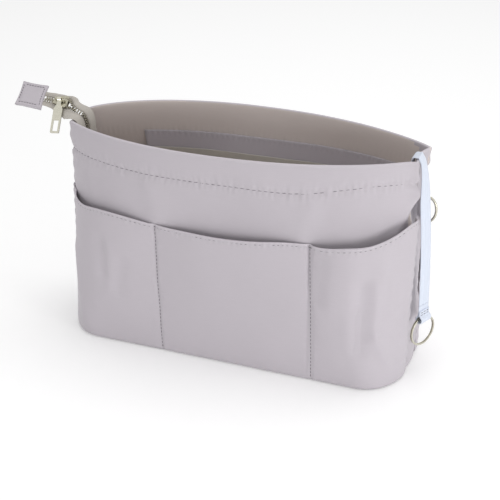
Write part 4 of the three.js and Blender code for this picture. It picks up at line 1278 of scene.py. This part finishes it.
strap_end_matrix = (Matrix.Translation((widest_half + strap_hang, strap_end_across, 0))
                    @ Matrix.Rotation(-strap_turn, 4, "Z"))
fold_eye_z = 57
fold_eye_radius = 3
fold_middle = fold_eye_radius + strap_thick / 2
fold_angle = acos(strap_thick / (fold_eye_radius + strap_thick))
fold_path = [(0, 0, strap_foot - 0.4), (0, 0, 66)]
fold_path += [(0.6 - fold_middle * cos(t), 0, fold_eye_z + fold_middle * sin(t))
              for t in np.linspace(fold_angle - 0.25, -pi - fold_angle + 0.25, 15)]
fold_path += [(strap_thick, 0, 62), (strap_thick, 0, 66.5)]


def bent_band(matrix, path, width, thick, rib=None):
    """A band of cloth bent along a path in the matrix's own XZ plane, its width along Y."""
    line, length = smooth_path(path, 120)

    def place(u, v):
        share, lift = band_section(v, thick)
        across = (share - 0.5) * width
        centre, run = line_at(line, u)
        if rib:
            lift += rib(across) * (0.8 if lift > 0 else -0.3)
        spot = centre + Vector((0, across, 0)) + Vector((0, 1, 0)).cross(run).normalized() * lift
        return matrix @ spot, u * length, across, 0, 0
    return cloth_layer(110, 50, place)


folded_end = bent_band(strap_end_matrix, fold_path, strap_width, strap_thick, webbing_rib)
finish_piece("strap_end_webbing", folded_end, "key_strap", [webbing], ["key_strap_end"])


def lap_row(height):
    def surface(across, lift):
        return strap_end_matrix @ Vector((1.5 * strap_thick + 0.1 + lift, across, height))
    return sewn_row(surface, -6.5, 6.5, 4.3)


stitches("strap_end_stitches", [lap_row(64.8), lap_row(62.2)], 0.5, "key_strap")

metal_node("split_ring", 0.1)

# D ring: bent nickel wire on a nylon tab that is sewn into the right end, beside the strap. The
# tab is folded round the wire and both its ends go into the seam.
dee_height = 159
dee_out = 6
dee_tab_width = 17
dee_tab_thick = 0.9
dee_eye = 2.2
metal_node("d_ring", 0.1)
dee_matrix = (Matrix.Translation(end_point(1, 0.5, dee_height, 0) + Vector((dee_out, 0, 0)))
              @ Matrix.Rotation(pi / 2, 4, "X"))
dee_path = [(-4.7, 0, 0.55), (-3.4, 0, 0.6)]
dee_path += [(-dee_eye * cos(t), 0, dee_eye * sin(t)) for t in np.linspace(0.5, 2 * pi - 0.5, 15)]
dee_path += [(-3.4, 0, -0.6), (-4.7, 0, -0.55)]
folded_tab = bent_band(dee_matrix, dee_path, dee_tab_width, dee_tab_thick)
finish_piece("d_ring_tab_cloth", folded_tab, "bag", [nylon], ["d_ring_tab"])
